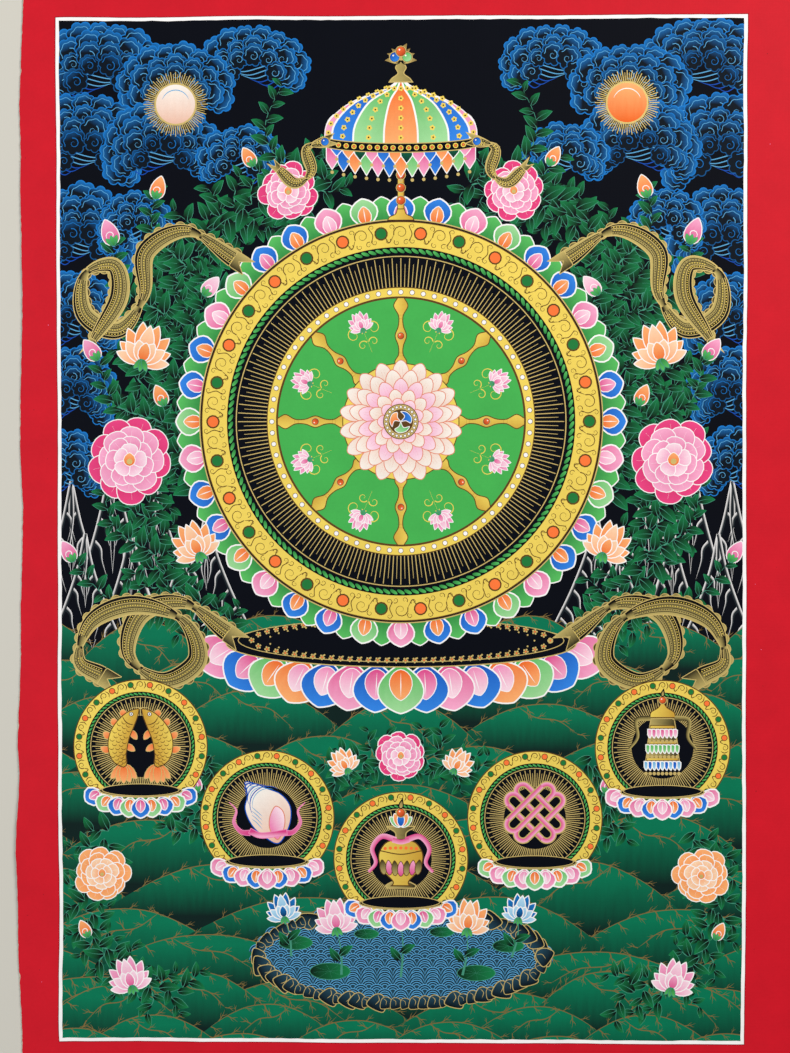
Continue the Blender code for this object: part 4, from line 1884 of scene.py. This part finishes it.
def weave(tree, pitch):
    """The cotton's threads as a height from 0 to 1: two crossing waves."""
    where = add(tree, "ShaderNodeTexCoord").outputs["Object"]
    waves = [
        add(tree, "ShaderNodeTexWave",
            {"Vector": where, "Scale": math.pi / (10 * pitch * MM), "Distortion": 0.8, "Detail": 1.0},
            bands_direction=direction).outputs["Fac"]
        for direction in "XY"
    ]
    return add(tree, "ShaderNodeMath", {0: waves[0], 1: waves[1]}, operation="ADD")


def new_material(name, roughness, metallic=0.0, specular=0.5):
    """A material with one shader. Returns it, its tree and the shader's inputs."""
    material = bpy.data.materials.new(name)
    material.use_nodes = True
    tree = material.node_tree
    tree.nodes.clear()
    shader = add(tree, "ShaderNodeBsdfPrincipled", {
        "Metallic": metallic, "Roughness": roughness, "IOR": 1.5, "Specular IOR Level": specular,
    })
    add(tree, "ShaderNodeOutputMaterial", {"Surface": shader})
    return material, tree, shader.inputs


# %% One paint
def brush_fade(tree):
    """How far along the brush stroke a place lies, 0 to 1, in streaks that run along it."""
    brush = add(tree, "ShaderNodeUVMap", uv_map="brush")
    along_brush = add(tree, "ShaderNodeSeparateXYZ", {0: brush})
    share = add(tree, "ShaderNodeClamp", {"Value": along_brush})
    stretched = add(tree, "ShaderNodeMapping", {"Vector": brush, "Scale": (1.2, 9.0, 1.0)})
    streak = add(tree, "ShaderNodeTexNoise", {"Vector": stretched, "Scale": 1.0, "Detail": 2.0})
    rest = add(tree, "ShaderNodeMath", {0: 1.0, 1: share}, operation="SUBTRACT")
    between = add(tree, "ShaderNodeMath", {0: share, 1: rest}, operation="MULTIPLY")
    sway = add(tree, "ShaderNodeMath", {0: streak, 1: 1.1, 2: -0.55}, operation="MULTIPLY_ADD")
    moved = add(tree, "ShaderNodeMath", {0: between, 1: sway, 2: share}, operation="MULTIPLY_ADD")
    return add(tree, "ShaderNodeClamp", {"Value": moved})


def paint_material(name, root, tip, roughness, metallic, specular):
    """A glue paint. It fades from the root's colour to the tip's, and is cloudy by a few percent."""
    material, tree, shader = new_material(name, roughness, metallic, specular)
    colour = linear(root)[:3]
    if root != tip:
        fade = brush_fade(tree)
        colour = add(tree, "ShaderNodeMix", {0: fade, 6: linear(root), 7: linear(tip)},
                     data_type="RGBA").outputs[2]
    clouds = add(tree, "ShaderNodeMath", {0: grain(tree, 30.0), 1: 0.20, 2: 0.85},
                 operation="MULTIPLY_ADD")
    tone = add(tree, "ShaderNodeMath", {0: grain(tree, 2.5), 1: 0.10, 2: clouds},
               operation="MULTIPLY_ADD")
    uneven = add(tree, "ShaderNodeVectorMath", {0: colour, "Scale": tone}, operation="SCALE")
    tree.links.new(uneven.outputs[0], shader["Base Color"])
    height = add(tree, "ShaderNodeMath", {0: grain(tree, 0.9), 1: 0.8, 2: weave(tree, 1.3)},
                 operation="MULTIPLY_ADD")
    bump = add(tree, "ShaderNodeBump", {"Height": height, "Distance": 0.03 * MM, "Strength": 0.5})
    tree.links.new(bump.outputs[0], shader["Normal"])
    return material


# %% The palette
# Each row is a pigment that gives such a colour, the colour at the root of a shape, and the one at
# its tip. The gold paints are smoother than the others, and a quarter to a third metallic. The dark
# ones are the most matt, so that they stay dark under the lamps.
PALETTE = {
    "black": ("carbon_ink_black", "#060913", "#060913"),
    "slate": ("indigo_over_ink", "#24485a", "#080f16"),
    "white": ("chalk_white", "#fdfbfa", "#121d24"),
    "hill": ("dark_malachite_hill", "#007653", "#06201d"),
    "leaf": ("indigo_and_yellow_leaf", "#030d0c", "#158049"),
    "leaf_bright": ("bright_leaf_green", "#1d7a3a", "#5cc463"),
    "leaf_line": ("pale_leaf_green", "#44947a", "#44947a"),
    "malachite": ("malachite_green", "#45b352", "#a6e0a0"),
    "magenta": ("deep_lac_pink", "#b8124c", "#ee4585"),
    "pink": ("lac_pink", "#dd3f88", "#fbb0d2"),
    "blush": ("pale_lac_pink", "#f38abb", "#ffe3ee"),
    "orange": ("minium_orange", "#f0661c", "#ffb473"),
    "apricot": ("pale_orange", "#ff9c5c", "#ffdcb8"),
    "azure": ("azurite_blue", "#0a4cb4", "#3389ea"),
    "sky": ("pale_azurite", "#5aa7d8", "#bfe5f8"),
    "cloud": ("washed_azurite", "#04101c", "#1a7ccf"),
    "gold": ("ground_gold", "#dfc57a", "#82693a"),
    "yellow_gold": ("gold_over_orpiment", "#ffe166", "#d8a83e"),
    "silk": ("gold_wash_on_ink", "#cdb970", "#0b0a0a"),
    "brown": ("brown_ink", "#5e3f18", "#5e3f18"),
    "salmon": ("salmon_line", "#e58a70", "#e58a70"),
    "ivory": ("warm_chalk_white", "#efbfa8", "#fbf5ec"),
    "minium": ("minium_stone_red", "#ff7a3a", "#b83a14"),
    "cinnabar": ("cinnabar_red", "#d01225", "#d01225"),
    # A dark red for the band of painted shade just outside the white line, and for flecks on the margin.
    "shadow_red": ("dark_red_painted_shade_and_flecks", "#8a0f1c", "#8a0f1c"),
}
METAL = {"gold": 0.35, "yellow_gold": 0.25, "silk": 0.25}
MATT = {"black": 0.06, "slate": 0.08, "cloud": 0.1, "hill": 0.12, "leaf": 0.12}

for name, film in films.items():
    roughness = 0.42 if name in METAL else 0.6
    look = paint_material(*PALETTE[name], roughness, METAL.get(name, 0.0), MATT.get(name, 0.16))
    film.data.materials.append(look)
print(len(films), "paints on the cloth")

# %% [markdown]
# ## Raw cotton
# Where the paint stops, and on the underside, the sized cotton shows. Its weave is drawn a little
# coarser than the real one, so that it can be seen at all in a picture of the whole cloth.

# %% Cotton
def cotton_material():
    """Pale threads with painted shade in the gaps between them, in patches more or less worn."""
    material, tree, shader = new_material("sized_raw_cotton", 0.88)
    threads = weave(tree, 1.3)
    worn = add(tree, "ShaderNodeMath", {0: grain(tree, 14.0), 1: 0.6, 2: -0.1}, operation="MULTIPLY_ADD")
    # The colour follows the weave's height, so the gaps between the threads come out darker: painted shade.
    share = add(tree, "ShaderNodeMath", {0: threads, 1: 0.3, 2: worn}, operation="MULTIPLY_ADD")
    colour = add(tree, "ShaderNodeMix", {0: share, 6: linear("#b9a98c"), 7: linear("#e2d9c3")},
                 data_type="RGBA", clamp_factor=True)
    tree.links.new(colour.outputs[2], shader["Base Color"])
    bump = add(tree, "ShaderNodeBump", {"Height": threads, "Distance": 0.08 * MM, "Strength": 0.7})
    tree.links.new(bump.outputs[0], shader["Normal"])
    return material


raw_cotton = cotton_material()
cotton_canvas.data.materials.append(raw_cotton)

# %% [markdown]
# ## Frayed yarns
# A knife leaves short yarn ends along the cut. One bent yarn is made here, and a tree puts copies of
# it along the cut edge, each turned and sized by chance.

# %% Yarns
def yarn_end():
    """One yarn end, 3 mm long along Y, as a thin rod with five rings of five sides."""
    rings = sides = 5
    place = []
    for ring in range(rings):
        t = ring / (rings - 1)
        centre = Vector((0.7 * t * t, 3.0 * t, -0.12 * t)) * MM
        radius = 0.17 * (1 - 0.6 * t) * MM
        for side in range(sides):
            angle = math.tau * side / sides
            place.append(centre + radius * Vector((math.cos(angle), 0, math.sin(angle))))
    faces = [
        (ring * sides + side, ring * sides + (side + 1) % sides,
         (ring + 1) * sides + (side + 1) % sides, (ring + 1) * sides + side)
        for ring in range(rings - 1) for side in range(sides)
    ]
    faces.append(tuple(range((rings - 1) * sides, rings * sides)))
    yarn = new_object("yarn_end", place, faces=faces)
    yarn.data.shade_smooth()
    return yarn


def make_yarn_tree():
    """Copies of Motif every Gap metres along the carrier's edges, pointing out, in random sizes."""
    tree, given, out = new_tree("frayed_edge", Motif="Object", Gap="Float", Seed="Int", Finish="Material")
    points, heading = points_along(tree, given)
    index = add(tree, "GeometryNodeInputIndex")
    swing = add(tree, "FunctionNodeRandomValue",
                {2: -1.1, 3: 1.1, "ID": index, "Seed": given["Seed"]}, data_type="FLOAT").outputs[1]
    outward = add(tree, "ShaderNodeMath", {0: heading, 1: math.pi}, operation="SUBTRACT")
    turn = add(tree, "ShaderNodeMath", {0: outward, 1: swing}, operation="ADD")
    other_seed = add(tree, "ShaderNodeMath", {0: given["Seed"], 1: 5.0}, operation="ADD")
    chance = add(tree, "FunctionNodeRandomValue",
                 {2: 0.0, 3: 1.0, "ID": index, "Seed": other_seed}, data_type="FLOAT").outputs[1]
    rare = add(tree, "ShaderNodeMath", {0: chance, 1: 3.0}, operation="POWER")
    size = add(tree, "ShaderNodeMath", {0: rare, 1: 0.7, 2: 0.08}, operation="MULTIPLY_ADD")
    return lay_copies(tree, given, out, turn, {
        "Points": points, "Instance": motif_in(tree, given["Motif"]), "Scale": size,
    })


cut = raised(edge_line + 0.25 * across(edge_line), 0.5 * COTTON)
carrier = new_object("cut_edge", cut.tolist(), [(k, (k + 1) % len(cut)) for k in range(len(cut))])
frayed = run_tree(make_yarn_tree(), carrier, Motif=yarn_end(), Gap=4.3 * MM, Seed=11, Finish=raw_cotton)
frayed.name = "frayed_yarns"
frayed_yarns = in_scene("frayed_yarns", frayed)
print("yarns:", len(frayed.polygons), "faces")

# %% [markdown]
# ## How the pieces ride, and what kind they are
# The cloth stands for the CAD's canvas. It lies on the floor and nothing on it moves. The films and
# the yarns go with it.

# %% Frame
on_cloth = [*films.values(), frayed_yarns]
for piece in [cotton_canvas, *on_cloth]:
    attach(piece, "root")
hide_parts("canvas")

# %% [markdown]
# ## Floor, light and camera
# A plain pale floor, a large soft lamp from the upper right and a weaker one from the left. The
# camera looks down from 1.28 m, with the small tilts of the photo's. The floor lies a tenth of a
# millimetre under the cloth, so that the two faces never share a plane.

# %% Floor
bpy.ops.mesh.primitive_plane_add(size=6.0, location=(0.0, 0.0, -0.1 * MM))
floor = bpy.context.object
floor.name = "floor"
floor_material, _, floor_shader = new_material("matt_pale_floor", 0.7)
floor_shader["Base Color"].default_value = linear("#d2cfc4")
floor.data.materials.append(floor_material)

# %% Light
def softbox(name, place, size, power, colour):
    """A square lamp aimed at the middle of the cloth."""
    data = bpy.data.lights.new(name, "AREA")
    data.shape = "SQUARE"
    data.size = size
    data.energy = power
    data.color = linear(colour)[:3]
    lamp = in_scene(name, data)
    lamp.location = place
    lamp.rotation_euler = (-Vector(place)).to_track_quat("-Z", "Y").to_euler()


softbox("key_light", (2.1, 2.0, 2.3), 1.8, 118.0, "#fffaf2")
softbox("fill_light", (-2.4, 0.2, 2.4), 2.2, 56.0, "#f4f8ff")
world = bpy.data.worlds.new("studio")
world.use_nodes = True
background = world.node_tree.nodes["Background"]
background.inputs["Color"].default_value = (1.0, 1.0, 1.0, 1.0)
background.inputs["Strength"].default_value = 0.2
bpy.context.scene.world = world
bpy.context.scene.view_settings.view_transform = "Standard"

# %% Camera
CAMERA_DISTANCE = 1.276
aim = Vector((middle[0] - 5.1, middle[1] + 4.6, 0.0)) * MM
camera = in_scene("camera", bpy.data.cameras.new("camera"))
camera.data.lens = 50.0
camera.data.sensor_fit = "VERTICAL"
camera.data.sensor_height = 36.0
camera.rotation_euler = (math.radians(-0.8), math.radians(0.8), 0.0)
camera.location = aim + CAMERA_DISTANCE * (camera.rotation_euler.to_matrix() @ Vector((0, 0, 1)))
bpy.context.scene.camera = camera

# %% Count the pieces and finish
print("pieces:", len(on_cloth) + 1)
